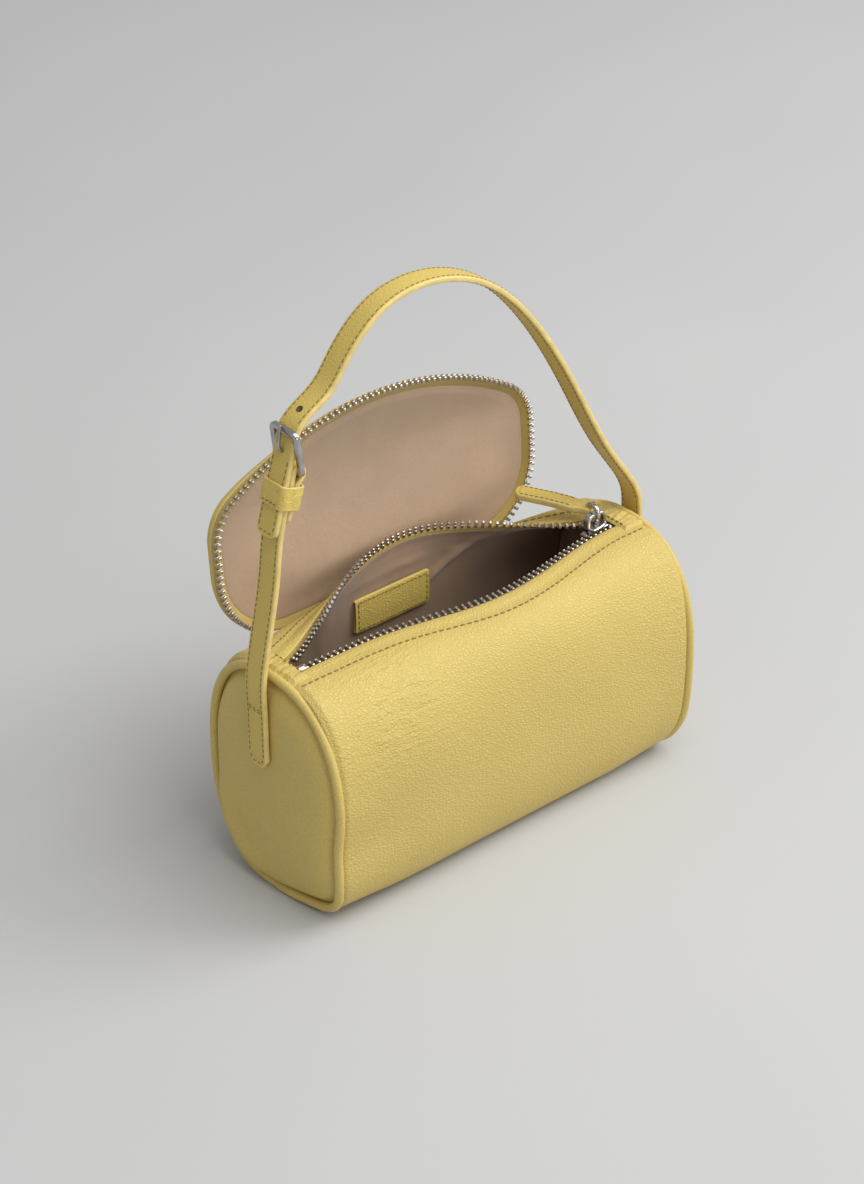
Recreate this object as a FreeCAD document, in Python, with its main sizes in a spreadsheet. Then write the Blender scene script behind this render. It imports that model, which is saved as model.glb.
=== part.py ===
import FreeCAD
import Part
import os
from math import atan2, cos, degrees, hypot, pi, radians, sin, sqrt
from types import SimpleNamespace
from FreeCAD import Placement, Rotation, Vector

# A small leather barrel bag: the barrel lies along X, its mouth faces up, its front is -Y.
# The origin is the middle of the flat base. Lengths are millimetres, angles are degrees.

# Driving dimensions
SIZES = {
    # barrel
    "barrel_length": 200.0,
    "barrel_width": 89.0,
    "barrel_height": 111.0,
    "widest_height": 53.0,
    "base_flat": 42.0,
    "base_trim": 0.3,
    "piping_proud": 0.9,
    "piping_size": 4.0,
    "leather": 2.0,
    "lining": 0.8,
    "board": 1.2,
    "layer_gap": 0.1,
    "end_puff": 4.6,
    # main zip and its mouth
    "zip_left_margin": 10.0,
    "zip_right_margin": 16.0,
    "row_half_gap": 2.9,
    "front_bow": 10.0,
    "rear_lip_inset": -1.0,
    "rear_rise": 6.0,
    "front_peak": 12.0,
    "rear_peak": 4.0,
    "front_turn": 12.0,
    "rear_turn": 90.0,
    "tooth_pitch": 3.1,
    "tooth_length": 2.0,
    "tooth_width": 3.5,
    "tooth_depth": 2.2,
    "tooth_sink": 0.7,
    "tape_show": 2.0,
    "tape_tuck": 3.0,
    "tape": 0.7,
    "facing_width": 5.0,
    "facing": 1.5,
    "end_tab_length": 7.0,
    "end_tab": 1.6,
    "stop_length": 5.0,
    "stop_height": 3.0,
    "small_stop_length": 2.4,
    "patch_length": 42.0,
    "patch_height": 17.0,
    "patch": 1.6,
    "patch_centre_x": -4.0,
    "patch_drop": 22.3,
    # slider and pull
    "slider_back": 3.5,
    "slider_length": 11.0,
    "slider_width": 9.4,
    "slider_plate": 1.3,
    "slider_post": 1.4,
    "slider_clear": 0.6,
    "bridge_height": 6.2,
    "bridge_bar": 0.8,
    "ring_radius": 3.6,
    "ring_wire": 0.9,
    "ring_slack": 0.3,
    "pull_length": 33.0,
    "pull_width": 9.0,
    "pull_thickness": 3.0,
    "pull_skew": 27.0,
    "pull_lift": 3.3,
    "pull_eye": 1.5,
    # lid
    "lid_end_margin": 11.2,
    "lid_height": 93.7,
    "lid_top_radius": 24.0,
    "lid_crown_radius": 145.0,
    "lid_foot_radius": 36.0,
    "lid_depth": 4.9,
    "lid_below": 26.0,
    "lid_tilt": 4.0,
    "lid_leather": 1.6,
    "lid_board": 1.0,
    "lid_piping": 2.8,
    "lid_piping_inset": 2.2,
    "lid_lip": 2.4,
    "lid_tape_tuck": 1.3,
    "lid_behind": 4.0,
    "lid_rise": 5.9,
    "hinge_length": 24.0,
    "hinge_bead": 1.8,
    "hinge_strip": 1.2,
    "hinge_clear": 0.4,
    "hinge_front": 1.5,
    "hinge_drop": 0.4,
    "hinge_anchor": 6.0,
    # handle
    "strap_width": 12.0,
    "strap": 2.4,
    "strap_set_back": 3.0,
    "swing_drop": 4.6,
    "anchor_length": 40.0,
    "arch_rise": 154.0,
    "strap_clear": 0.15,
    "end_clear": 0.35,
    "buckle_lean": 17.0,
    "buckle_bar": 2.2,
    "buckle_reach": 17.0,
    "tail_length": 28.0,
    "fold_length": 22.0,
    "keeper_drop": 5.0,
    "keeper_height": 10.0,
    "keeper_wall": 1.2,
    "keeper_clear": 0.2,
    "hole_radius": 1.65,
    "hole_step": 26.0,
    "prong_width": 2.2,
    "prong": 1.8,
    "prong_fit": 0.05,
    "prong_rest": 0.3,
    "prong_wall": 1.1,
    "prong_slot": 3.2,
    # one overrun for every cut
    "overrun": 1.0,
}

TOP_POWER = 2.45
FOOT_POWER = 2.7
ROW_POWERS = {-1: (4.8, 1.8), 1: (1.3, 1.3)}
QUARTER_STEPS = 6
STATIONS = 14

doc = FreeCAD.newDocument("BarrelBag")
sheet = doc.addObject("Spreadsheet::Sheet", "Sizes")
for row, (name, value) in enumerate(SIZES.items(), start=1):
    sheet.set("A%d" % row, str(value))
    sheet.setAlias("A%d" % row, name)
doc.recompute()
s = SimpleNamespace(**{name: float(sheet.get(name)) for name in SIZES})
nodes = []


# Helpers

def bind(item, **expressions):
    for field, text in expressions.items():
        item.setExpression(field, text)
    return item


def add(kind, label):
    item = doc.addObject(kind, label)
    item.Label = label
    return item


def node(item):
    nodes.append(item)
    return item


def feature(label, shape, placement=None):
    item = add("Part::Feature", label)
    item.Shape = shape
    if placement:
        item.Placement = placement
    return node(item)


def spline(points):
    curve = Part.BSplineCurve()
    curve.interpolate(points)
    return curve.toShape()


def line(start, end):
    return Part.LineSegment(start, end).toShape()


def polygon(points):
    return Part.Wire([line(a, b) for a, b in zip(points, points[1:] + points[:1])])


def ruled(wires):
    return Part.makeLoft(wires, True, True)


def fuse(label, items):
    item = add("Part::MultiFuse", label)
    item.Shapes = items
    return item


# Sizes that follow from the driving ones
body_half = s.barrel_width / 2 - s.piping_proud
body_top = s.barrel_height - s.piping_proud
ring_x = s.barrel_length / 2
ring_half = s.piping_size / 2
body_reach = ring_x - ring_half - s.layer_gap
lip_offset = s.tooth_width / 2 + s.tape_show + s.facing_width + s.layer_gap
lining_inset = s.leather + s.layer_gap
lining_face = lining_inset + s.lining
zip_left_reach = ring_x - s.zip_left_margin
zip_right_reach = ring_x - s.zip_right_margin
rear_bow = body_half - s.rear_lip_inset - s.row_half_gap
slider_x = zip_right_reach - s.slider_back
patch_centre_z = body_top - s.patch_drop
lid_width = s.barrel_length - 2 * s.lid_end_margin
lid_y = s.barrel_width / 2 + s.lid_behind
lid_z = body_top + s.lid_rise
swing_z = s.barrel_height - s.swing_drop
strap_foot_z = swing_z - s.anchor_length


# Barrel section

def side_points(side, lip_y, lip_z, half, foot_y, foot_z):
    """Points from a lip down one flank to the edge of the flat base; y is measured outward."""
    points = []
    for step in range(QUARTER_STEPS, -1, -1):
        angle = pi / 2 * step / QUARTER_STEPS
        y = lip_y + (half - lip_y) * abs(cos(angle)) ** (2 / TOP_POWER)
        z = s.widest_height + (lip_z - s.widest_height) * sin(angle) ** (2 / TOP_POWER)
        points.append((side * y, z))
    for step in range(1, QUARTER_STEPS + 1):
        angle = pi / 2 * step / QUARTER_STEPS
        y = foot_y + (half - foot_y) * abs(cos(angle)) ** (2 / FOOT_POWER)
        z = s.widest_height - (s.widest_height - foot_z) * sin(angle) ** (2 / FOOT_POWER)
        points.append((side * y, z))
    return points


def row_frame(side, x):
    """A point of the tooth row, the direction away from the mouth and the outward direction."""
    peak = s.front_peak if side < 0 else s.rear_peak
    reach = zip_left_reach + peak if x < peak else zip_right_reach - peak
    angle = pi / 2 * min(1, abs(x - peak) / reach)
    power = ROW_POWERS[side][x > peak]
    share = cos(angle) ** power
    bow = s.front_bow if side < 0 else rear_bow
    rise = 0 if side < 0 else s.rear_rise
    turn = radians((s.front_turn if side < 0 else s.rear_turn) * share)
    slope = bow * power * cos(angle) ** (power - 1) * sin(angle) * pi / 2 / reach
    point = Vector(x, side * (s.row_half_gap + bow * share), body_top + rise * share)
    away = Vector(0, side * cos(turn), -sin(turn)) * hypot(1, slope)
    out = Vector(0, side * sin(turn), cos(turn))
    return point, away, out


def along_barrel(section, start_x, end_x):
    """A solid through sections along the barrel, smooth in the mouth and straight beyond its ends."""
    low, high = max(start_x, -zip_left_reach), min(end_x, zip_right_reach)
    places = [low + (high - low) * step / STATIONS for step in range(STATIONS + 1)]
    solid = Part.makeLoft([section(x) for x in places], True, False)
    for a, b in ((start_x, low), (high, end_x)):
        if b > a:
            solid = solid.fuse(ruled([section(a), section(b)]))
    return solid


def skin_side(side, x, inset):
    point, away, out = row_frame(side, x)
    lip = point + away * lip_offset - out * inset
    foot_z = inset - s.base_trim
    pairs = side_points(side, abs(lip.y), lip.z, body_half - inset, s.base_flat / 2, foot_z)
    return [Vector(x, y, z) for y, z in pairs]


def skin(inset, wall, reach):
    """A leather or fabric skin round the barrel, open at the top between its two lips."""
    def section(x):
        front, rear = skin_side(-1, x, inset), skin_side(1, x, inset)
        front_in, rear_in = skin_side(-1, x, inset + wall), skin_side(1, x, inset + wall)
        return Part.Wire([
            spline(front), line(front[-1], rear[-1]), spline(rear[::-1]), line(rear[0], rear_in[0]),
            spline(rear_in), line(rear_in[-1], front_in[-1]), spline(front_in[::-1]),
            line(front_in[0], front[0])])

    return along_barrel(section, -reach, reach)


floor_length = s.barrel_length + 2 * s.piping_size
floor = Part.makeBox(
    floor_length, s.barrel_width, s.overrun, Vector(-floor_length / 2, -s.barrel_width / 2, -s.overrun))
feature("body_panel", skin(0, s.leather, body_reach).cut(floor))
end_board_x = body_reach - s.layer_gap
end_lining_x = end_board_x - s.board - s.layer_gap
lining_reach = end_lining_x - s.lining - s.layer_gap
feature("body_lining", skin(lining_inset, s.lining, lining_reach))


# Ends: puffed leather panel, board, lining and piping

def end_outline(x, inset):
    half = s.barrel_width / 2 - inset
    pairs = side_points(1, 0, s.barrel_height - inset, half, s.base_flat / 2, inset)
    rear = [Vector(x, y, z) for y, z in pairs]
    front = [Vector(x, -y, z) for y, z in pairs]
    return Part.Wire([spline(rear), line(rear[-1], front[-1]), spline(front[::-1])])


PUFF_SHARES = ((0.0, 0.0), (0.3, 0.02), (0.72, 0.09), (0.94, 0.2), (1.0, 0.34))


def puffed(side, back_x, rim_x, inset, puff):
    wires = [end_outline(side * back_x, inset)]
    for rise_share, inset_share in PUFF_SHARES:
        narrowing = inset_share * s.barrel_width / 2
        wires.append(end_outline(side * (rim_x + rise_share * puff), inset + narrowing))
    return ruled(wires)


PIPING_CORNER_SHARE = 0.3


def octagon_ring(side):
    corner = s.piping_size * PIPING_CORNER_SHARE
    places = ((-ring_half, corner), (corner - ring_half, 0), (ring_half - corner, 0), (ring_half, corner))
    outer = [end_outline(side * (ring_x + x), edge) for x, edge in places]
    inner = [end_outline(side * (ring_x + x), s.piping_size - edge) for x, edge in places]
    return ruled(outer).cut(ruled(inner))


panel_inset = s.piping_size + s.layer_gap
hollow_inset = panel_inset + s.leather
inner_inset = s.piping_proud + s.leather + s.layer_gap
for side, name in ((-1, "left"), (1, "right")):
    shell = puffed(side, body_reach, ring_x, panel_inset, s.end_puff)
    hollow = puffed(side, body_reach - s.overrun, ring_x - s.leather, hollow_inset, s.end_puff)
    feature(name + "_end_panel", shell.cut(hollow))
    for label, outer_x, wall in (("board", end_board_x, s.board), ("lining", end_lining_x, s.lining)):
        face = Part.Face(end_outline(side * outer_x, inner_inset))
        feature("%s_end_%s" % (name, label), face.extrude(Vector(-side * wall, 0, 0)))
    feature(name + "_piping", octagon_ring(side).cut(floor))


# Main zip: facings, tapes, teeth, stops and end tabs

def ribbon(side, reach, near, far, low, high):
    """A strip beside the tooth row, between two distances from it and two outward heights."""
    def section(x):
        point, away, out = row_frame(side, x)
        corners = ((near, low), (far, low), (far, high), (near, high))
        return polygon([point + away * d + out * h for d, h in corners])

    return along_barrel(section, -reach, reach)


def tooth(length, width, depth):
    return Part.makeBox(length, width, depth, Vector(-length / 2, -width / 2, -depth / 2))


tape_top = -s.facing - s.layer_gap
tape_near = s.tooth_width / 2 + s.layer_gap
tape_far = tape_near + s.tape_show + s.tape_tuck
facing_near = s.tooth_width / 2 + s.tape_show
tooth_middle = -s.tooth_sink - s.tooth_depth / 2
row_start = -zip_left_reach + s.stop_length
row_end = zip_right_reach
for side, name in ((-1, "front"), (1, "rear")):
    strip = ribbon(side, body_reach, facing_near, facing_near + s.facing_width, -s.facing, 0)
    feature(name + "_zip_facing", strip)
    strip = ribbon(side, lining_reach, tape_near, tape_far, tape_top - s.tape, tape_top)
    feature(name + "_zip_tape", strip)
    teeth = []
    for index in range(int((row_end - row_start) / s.tooth_pitch)):
        x = row_start + (index + 0.5) * s.tooth_pitch
        point, away, out = row_frame(side, x)
        ahead = row_frame(side, x + s.tooth_length)[0] - row_frame(side, x - s.tooth_length)[0]
        turn = Rotation(ahead, away, out, "ZXY")
        piece = tooth(s.tooth_length, s.tooth_width, s.tooth_depth)
        piece.Placement = Placement(point + out * tooth_middle, turn)
        teeth.append(piece)
    feature(name + "_zip_teeth", Part.makeCompound(teeth))

tab_base = body_top + s.layer_gap
tab_width = 2 * (s.row_half_gap + lip_offset)
for side, name in ((-1, "left"), (1, "right")):
    tab = bind(add("Part::Box", name + "_zip_tab"), Length="Sizes.end_tab_length", Height="Sizes.end_tab")
    tab.Width = tab_width
    inner_x = side * body_reach if side < 0 else body_reach - s.end_tab_length
    tab.Placement.Base = Vector(inner_x, -tab_width / 2, tab_base)
    node(tab)

stop = bind(
    add("Part::Box", "zip_box_stop"), Length="Sizes.stop_length", Width="Sizes.tooth_width",
    Height="Sizes.stop_height")
stop_y = -s.row_half_gap - s.tooth_width / 2
stop_z = body_top - s.tooth_sink - s.stop_height + s.layer_gap
stop.Placement.Base = Vector(-zip_left_reach, stop_y, stop_z)
node(stop)

right_stops = []
for side in (-1, 1):
    point, away, out = row_frame(side, row_end + s.small_stop_length)
    piece = tooth(s.small_stop_length, s.tooth_width, s.tooth_depth)
    piece.Placement = Placement(point + out * tooth_middle, Rotation())
    right_stops.append(piece)
feature("zip_right_stops", Part.makeCompound(right_stops))

# Bare leather patch on the rear lining
def rear_y(x, height, inset):
    """The rear skin at one place and inset, between the two section points round it."""
    points = skin_side(1, x, inset)
    for upper, lower in zip(points, points[1:]):
        if lower.z <= height <= upper.z:
            share = (height - lower.z) / (upper.z - lower.z)
            return lower.y + share * (upper.y - lower.y)
    return points[0].y


patch = bind(
    add("Part::Box", "lining_patch"), Length="Sizes.patch_length", Width="Sizes.patch",
    Height="Sizes.patch_height")
patch_x = s.patch_centre_x - s.patch_length / 2
patch_z = patch_centre_z - s.patch_height / 2
patch_corners = [(x, patch_z + s.patch_height) for x in (patch_x, patch_x + s.patch_length)]
patch_y = min(rear_y(x, z, lining_face) for x, z in patch_corners) - s.patch - s.layer_gap
patch.Placement.Base = Vector(patch_x, patch_y, patch_z)
node(patch)


# Zip slider with its bridge, the pull ring and the leather pull tab

teeth_top = body_top - s.tooth_sink
teeth_bottom = teeth_top - s.tooth_depth
top_plate_z = teeth_top + s.slider_clear
foot_plate_z = teeth_bottom - s.slider_clear - s.slider_plate
bar_z = top_plate_z + s.bridge_height
slider_left = slider_x - s.slider_length / 2


def slider_box(label, length, width, height, base):
    box = bind(add("Part::Box", label), Length=length, Width=width, Height=height)
    box.Placement.Base = base
    return box


plate_y = -s.slider_width / 2
top_plate = slider_box(
    "slider_top_plate", "Sizes.slider_length", "Sizes.slider_width", "Sizes.slider_plate",
    Vector(slider_left, plate_y, top_plate_z))
foot_plate = slider_box(
    "slider_foot_plate", "Sizes.slider_length", "Sizes.slider_width", "Sizes.slider_plate",
    Vector(slider_left, plate_y, foot_plate_z))
post = slider_box(
    "slider_post", "Sizes.slider_post", "Sizes.slider_post", "Sizes.slider_plate",
    Vector(slider_x + s.slider_length / 2 - s.slider_post, -s.slider_post / 2, foot_plate_z))
post.Height = top_plate_z - foot_plate_z + s.slider_plate
legs = []
for index, leg_x in enumerate((slider_left, slider_left + s.slider_length - 2 * s.bridge_bar)):
    leg = slider_box(
        "bridge_leg_%d" % index, "2 * Sizes.bridge_bar", "2 * Sizes.bridge_bar", "Sizes.bridge_height",
        Vector(leg_x, -s.bridge_bar, top_plate_z))
    leg.setExpression("Height", "Sizes.bridge_height + Sizes.bridge_bar")
    legs.append(leg)
bar = bind(add("Part::Cylinder", "bridge_bar_rod"), Radius="Sizes.bridge_bar", Height="Sizes.slider_length")
bar.Placement = Placement(Vector(slider_left, 0, bar_z), Rotation(Vector(0, 1, 0), 90))
node(fuse("zip_slider", [top_plate, foot_plate, post, bar] + legs))

ring_y = s.ring_radius - s.ring_wire - s.bridge_bar - s.ring_slack
ring = bind(add("Part::Torus", "pull_ring"), Radius1="Sizes.ring_radius", Radius2="Sizes.ring_wire")
pull_rest = Placement(Vector(), Rotation(Vector(1, 0, 0), s.pull_lift), Vector(0, 0, bar_z))
ring.Placement = pull_rest * Placement(Vector(slider_x, ring_y, bar_z), Rotation(Vector(0, 1, 0), 90))
node(ring)

tab_body = add("PartDesign::Body", "pull_tab")
plane = next(f for f in tab_body.Origin.OriginFeatures if f.Role == "XY_Plane")
sketch = tab_body.newObject("Sketcher::SketchObject", "PullOutline")
sketch.AttachmentSupport = [(plane, "")]
sketch.MapMode = "FlatFace"
eye_reach = s.pull_eye + s.ring_wire
half_pull = s.pull_width / 2
tip_arc = half_pull / 2
outline = [
    Vector(-half_pull, -eye_reach, 0), Vector(half_pull, -eye_reach, 0),
    Vector(half_pull, s.pull_length - tip_arc, 0), Vector(half_pull - tip_arc, s.pull_length, 0),
    Vector(tip_arc - half_pull, s.pull_length, 0), Vector(-half_pull, s.pull_length - tip_arc, 0)]
for a, b in zip(outline, outline[1:] + outline[:1]):
    sketch.addGeometry(Part.LineSegment(a, b), False)
sketch.addGeometry(Part.Circle(Vector(0, 0, 0), Vector(0, 0, 1), s.pull_eye), False)
pad = tab_body.newObject("PartDesign::Pad", "PullPad")
pad.Profile = sketch
pad.setExpression("Length", "Sizes.pull_thickness")
pad.Midplane = True
tab_y = ring_y + s.ring_radius
tab_body.Placement = pull_rest * Placement(
    Vector(slider_x, tab_y, bar_z), Rotation(Vector(0, 0, 1), s.pull_skew))
node(tab_body)


# Lid: a shallow tray that stands behind the mouth. Local X is along the barrel, local Y runs to
# its back, local Z is up.

lid_place = Placement(Vector(0, lid_y, lid_z), Rotation(Vector(1, 0, 0), -s.lid_tilt))


def lid_outline(inset, depth):
    half = lid_width / 2 - inset
    low = -s.lid_below + inset
    high = s.lid_height - s.lid_below - inset
    top, foot = s.lid_top_radius - inset, s.lid_foot_radius - inset
    crown = s.lid_crown_radius - inset
    bend_x = half - top
    bend_rise = sqrt((crown - top) ** 2 - bend_x ** 2)
    bend_z = high - crown + bend_rise
    turn = atan2(bend_rise, bend_x)
    slope = sin(pi / 4)

    def at(x, z):
        return Vector(x, depth, z)

    def foot_bend(start, sign, end):
        middle = at(sign * (half - foot + foot * slope), low + foot - foot * slope)
        return Part.Arc(start, middle, end).toShape()

    def top_bend(start, sign, end):
        middle = at(sign * (bend_x + top * cos(turn / 2)), bend_z + top * sin(turn / 2))
        return Part.Arc(start, middle, end).toShape()

    a, b = at(-half + foot, low), at(half - foot, low)
    c, d = at(half, low + foot), at(half, bend_z)
    meet_x, meet_z = bend_x + top * cos(turn), bend_z + top * sin(turn)
    e, f = at(meet_x, meet_z), at(-meet_x, meet_z)
    g, h = at(-half, bend_z), at(-half, low + foot)
    return Part.Wire([
        line(a, b), foot_bend(b, 1, c), line(c, d), top_bend(d, 1, e),
        Part.Arc(e, at(0, high), f).toShape(), top_bend(f, -1, g), line(g, h), foot_bend(h, -1, a)])


def lid_plate(inset, start, end):
    return Part.Face(lid_outline(inset, start)).extrude(Vector(0, end - start, 0))


def lid_ring(outer, inner, start, end):
    return lid_plate(outer, start, end).cut(lid_plate(inner, start - s.overrun, end + s.overrun))


panel_front = s.lid_depth + s.layer_gap
board_back = s.lid_depth
board_front = board_back - s.lid_board
lid_lining_back = board_front - s.layer_gap
lid_lining_front = lid_lining_back - s.lining
tape_out = s.lid_leather + s.layer_gap
tape_in = tape_out + s.tape
dish_out = tape_in + s.layer_gap
dish_front = s.lid_lip
lid_tape_front = s.tooth_width / 2 + s.layer_gap
lid_tape_back = s.lid_lip + s.lid_tape_tuck
feature("lid_wall", lid_ring(0, s.lid_leather, s.lid_lip, s.lid_depth), lid_place)
roll = s.lid_piping / 2
panel_inset = s.lid_piping_inset + roll + s.layer_gap
feature("lid_panel", lid_plate(panel_inset, panel_front, panel_front + s.lid_leather), lid_place)
feature("lid_board", lid_plate(tape_out, board_front, board_back), lid_place)
feature("lid_zip_tape", lid_ring(tape_out, tape_in, lid_tape_front, lid_tape_back), lid_place)
dish = lid_plate(dish_out, dish_front, lid_lining_back)
dish = dish.cut(lid_plate(dish_out + s.lining, dish_front - s.overrun, lid_lining_front))
feature("lid_lining", dish, lid_place)

roll_path = lid_outline(s.lid_piping_inset, panel_front + roll)
roll_start = roll_path.Edges[0].firstVertex().Point
roll_circle = Part.Wire([Part.Circle(roll_start, Vector(1, 0, 0), roll).toShape()])
feature("lid_piping", roll_path.makePipeShell([roll_circle], True, False), lid_place)

tooth_path = lid_outline(s.tooth_depth / 2, 0)
path_edges = tooth_path.Edges[1:]
lid_teeth, lid_stops = [], []
path_lengths = [edge.Length for edge in path_edges]
row_length = sum(path_lengths)
tooth_count = int((row_length - s.lid_foot_radius) / s.tooth_pitch)
row_from = (row_length - tooth_count * s.tooth_pitch) / 2


def along_lid(distance):
    for edge, length in zip(path_edges, path_lengths):
        if distance <= length:
            parameter = edge.getParameterByLength(distance)
            return edge.valueAt(parameter), edge.tangentAt(parameter)
        distance -= length
    return edge.valueAt(edge.LastParameter), edge.tangentAt(edge.LastParameter)


for index in range(-1, tooth_count + 1):
    point, tangent = along_lid(row_from + (index + 0.5) * s.tooth_pitch)
    is_stop = index in (-1, tooth_count)
    piece = tooth(s.small_stop_length if is_stop else s.tooth_length, s.tooth_width, s.tooth_depth)
    piece.Placement = Placement(point, Rotation(tangent, Vector(0, 1, 0), Vector(), "XYZ"))
    (lid_stops if is_stop else lid_teeth).append(piece)
feature("lid_zip_teeth", Part.makeCompound(lid_teeth), lid_place)
feature("lid_zip_stops", Part.makeCompound(lid_stops), lid_place)

# Leather hinge, close behind the rear lip: a bead on the fold line with a strip down to the lid's foot,
# and its anchor on the barrel's rear
strip_front = -s.hinge_front - s.hinge_strip / 2
fold = Vector(0, -s.hinge_front, -s.hinge_drop)
bead = bind(
    add("Part::Cylinder", "hinge_bead_roll"), Radius="Sizes.hinge_bead / 2", Height="Sizes.hinge_length")
bead.Placement = Placement(fold - Vector(s.hinge_length / 2, 0, 0), Rotation(Vector(0, 1, 0), 90))
web = bind(
    add("Part::Box", "hinge_web"), Length="Sizes.hinge_length", Width="Sizes.hinge_strip",
    Height="Sizes.lid_below - Sizes.hinge_drop")
web.Placement.Base = Vector(-s.hinge_length / 2, strip_front, -s.lid_below)
hem = bind(add("Part::Box", "hinge_hem"), Length="Sizes.hinge_length", Height="Sizes.hinge_strip")
hem.Width = s.lid_lip - s.layer_gap - strip_front
hem.Placement.Base = web.Placement.Base
strip = fuse("lid_hinge_strip", [bead, web, hem])
strip.Placement = lid_place
node(strip)

fold_line = lid_place.multVec(fold)
anchor_top = fold_line.z + s.hinge_strip / 2
anchor_low = anchor_top - s.hinge_anchor
anchor_back = fold_line.y - s.hinge_bead / 2 - s.hinge_clear


def anchor_section(x):
    near = rear_y(x, anchor_low, 0) + s.layer_gap
    corners = ((near, anchor_low), (anchor_back, anchor_low), (anchor_back, anchor_top), (near, anchor_top))
    return polygon([Vector(x, y, z) for y, z in corners])


feature("lid_hinge_anchor", along_barrel(anchor_section, -s.hinge_length / 2, s.hinge_length / 2))


# Handle: everything lies in one upright plane, so each strap is a bent profile pushed out to its width

strap_low_y = s.strap_set_back - s.strap_width / 2
strap_end_z = swing_z - s.strap_width / 2
strap_x = ring_x + s.end_puff + s.end_clear + s.strap / 2


def band(points, thickness):
    """A closed profile of even thickness along a run of (x, z) points."""
    left, right = [], []
    for index, (x, z) in enumerate(points):
        before = points[max(index - 1, 0)]
        after = points[min(index + 1, len(points) - 1)]
        dx, dz = after[0] - before[0], after[1] - before[1]
        reach = hypot(dx, dz) * 2 / thickness
        left.append(Vector(x - dz / reach, 0, z + dx / reach))
        right.append(Vector(x + dz / reach, 0, z - dx / reach))
    edges = [spline(left), line(left[-1], right[-1]), spline(right[::-1]), line(right[0], left[0])]
    return Part.Face(Part.Wire(edges))


def push_out(face, low_y, width):
    return face.translated(Vector(0, low_y, 0)).extrude(Vector(0, width, 0))


def rounded_foot(solid, end_z, radius):
    edges = [
        e for e in solid.Edges
        if abs(e.BoundBox.ZMax - end_z) < s.layer_gap and abs(e.BoundBox.ZMin - end_z) < s.layer_gap
        and e.BoundBox.XLength > e.BoundBox.YLength]
    return solid.makeFillet(radius, edges)


def resample(points, count):
    curve = spline([Vector(x, 0, z) for x, z in points])
    spots = curve.discretize(Number=count + 1)
    return [(spot.x, spot.z) for spot in spots]


lean = radians(s.buckle_lean)
BUCKLE_SEAT_SHARES = (-0.8413, 0.6117)
buckle_x = BUCKLE_SEAT_SHARES[0] * strap_x
buckle_z = swing_z + BUCKLE_SEAT_SHARES[1] * s.arch_rise


def buckle_spot(along, outward):
    """A point near the buckle, from its seat on the strap: along the strap and away from the arch."""
    x = buckle_x + along * sin(lean) - outward * cos(lean)
    return x, buckle_z + along * cos(lean) + outward * sin(lean)


# The arch from the right end over the top, as shares of half the span and of the rise
ARCH_SHARES = (
    (0.989, 0.072), (0.929, 0.15), (0.82, 0.257), (0.6265, 0.4974), (0.4051, 0.7461), (0.146, 0.9273),
    (-0.1017, 0.9942), (-0.3674, 0.9753), (-0.5643, 0.8565), (-0.6368, 0.7968))
long_route = [(strap_x, strap_end_z), (strap_x, swing_z)]
long_route += [(x * strap_x, swing_z + z * s.arch_rise) for x, z in ARCH_SHARES]
BUCKLE_RUN_SHARES = (1.0, 0.5, 0.0)
long_route += [buckle_spot(share * s.buckle_reach, 0) for share in BUCKLE_RUN_SHARES]
TAIL_RUN_SHARES = (0.33, 0.66, 1.0)
long_route += [buckle_spot(-share * s.tail_length, 0) for share in TAIL_RUN_SHARES]
LONG_SAMPLES = 60
long_points = resample(long_route, LONG_SAMPLES)
long_strap = push_out(band(long_points, s.strap), strap_low_y, s.strap_width)
ROUND_SHARE = 0.96
long_strap = rounded_foot(long_strap, strap_end_z, ROUND_SHARE * s.strap_width / 2)


def punch(x, z, axis):
    reach = s.strap + s.overrun
    start = Vector(x, s.strap_set_back, z) - axis * reach
    return Part.makeCylinder(s.hole_radius, 2 * reach, start, axis)


HOLE_SHARES = (0.28, 0.39, 0.5)
for share in HOLE_SHARES:
    hole_x, hole_z = buckle_spot(share * s.buckle_reach, 0)
    long_strap = long_strap.cut(punch(hole_x, hole_z, Vector(-cos(lean), 0, sin(lean))))


def off_spare_hole(index):
    x, z = long_points[index]
    return abs(hypot(x - buckle_x, z - buckle_z) - s.hole_step)


spare = min((k for k in range(LONG_SAMPLES) if long_points[k][1] > buckle_z), key=off_spare_hole)
(spare_x, spare_z), (next_x, next_z) = long_points[spare], long_points[spare + 1]
spare_axis = Vector(next_z - spare_z, 0, spare_x - next_x).normalize()
long_strap = long_strap.cut(punch(spare_x, spare_z, spare_axis))
feature("long_strap", long_strap)

# The short strap folds round the heel bar and comes back on its inner side
bar_half = s.buckle_bar / 2
layer_step = s.strap + s.strap_clear
heel_out = -layer_step - s.strap / 2 - s.strap_clear - bar_half
wrap = bar_half + s.strap_clear + s.strap / 2
SHORT_SHARES = ((-0.9845, 0.0727), (-0.949, 0.1883), (-0.917, 0.302))
short_route = [(-strap_x, strap_end_z), (-strap_x, swing_z)]
short_route += [(x * strap_x, swing_z + z * s.arch_rise) for x, z in SHORT_SHARES]
LEG_SHARES = (0.78, 0.4, 0.1)
short_route += [buckle_spot(-share * s.tail_length, -layer_step) for share in LEG_SHARES]
SHORT_SAMPLES = 24
short_points = resample(short_route, SHORT_SAMPLES)
WRAP_STEPS = 8
for step in range(WRAP_STEPS + 1):
    angle = pi * step / WRAP_STEPS
    short_points.append(buckle_spot(wrap * sin(angle), heel_out + wrap * cos(angle)))
FOLD_SHARES = ((0.07, 0.97), (0.18, 0.45), (0.28, 0.08), (0.4, 0.0), (0.7, 0.0), (1.0, 0.0))
fold_far, fold_near = heel_out - wrap, -2 * layer_step
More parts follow.
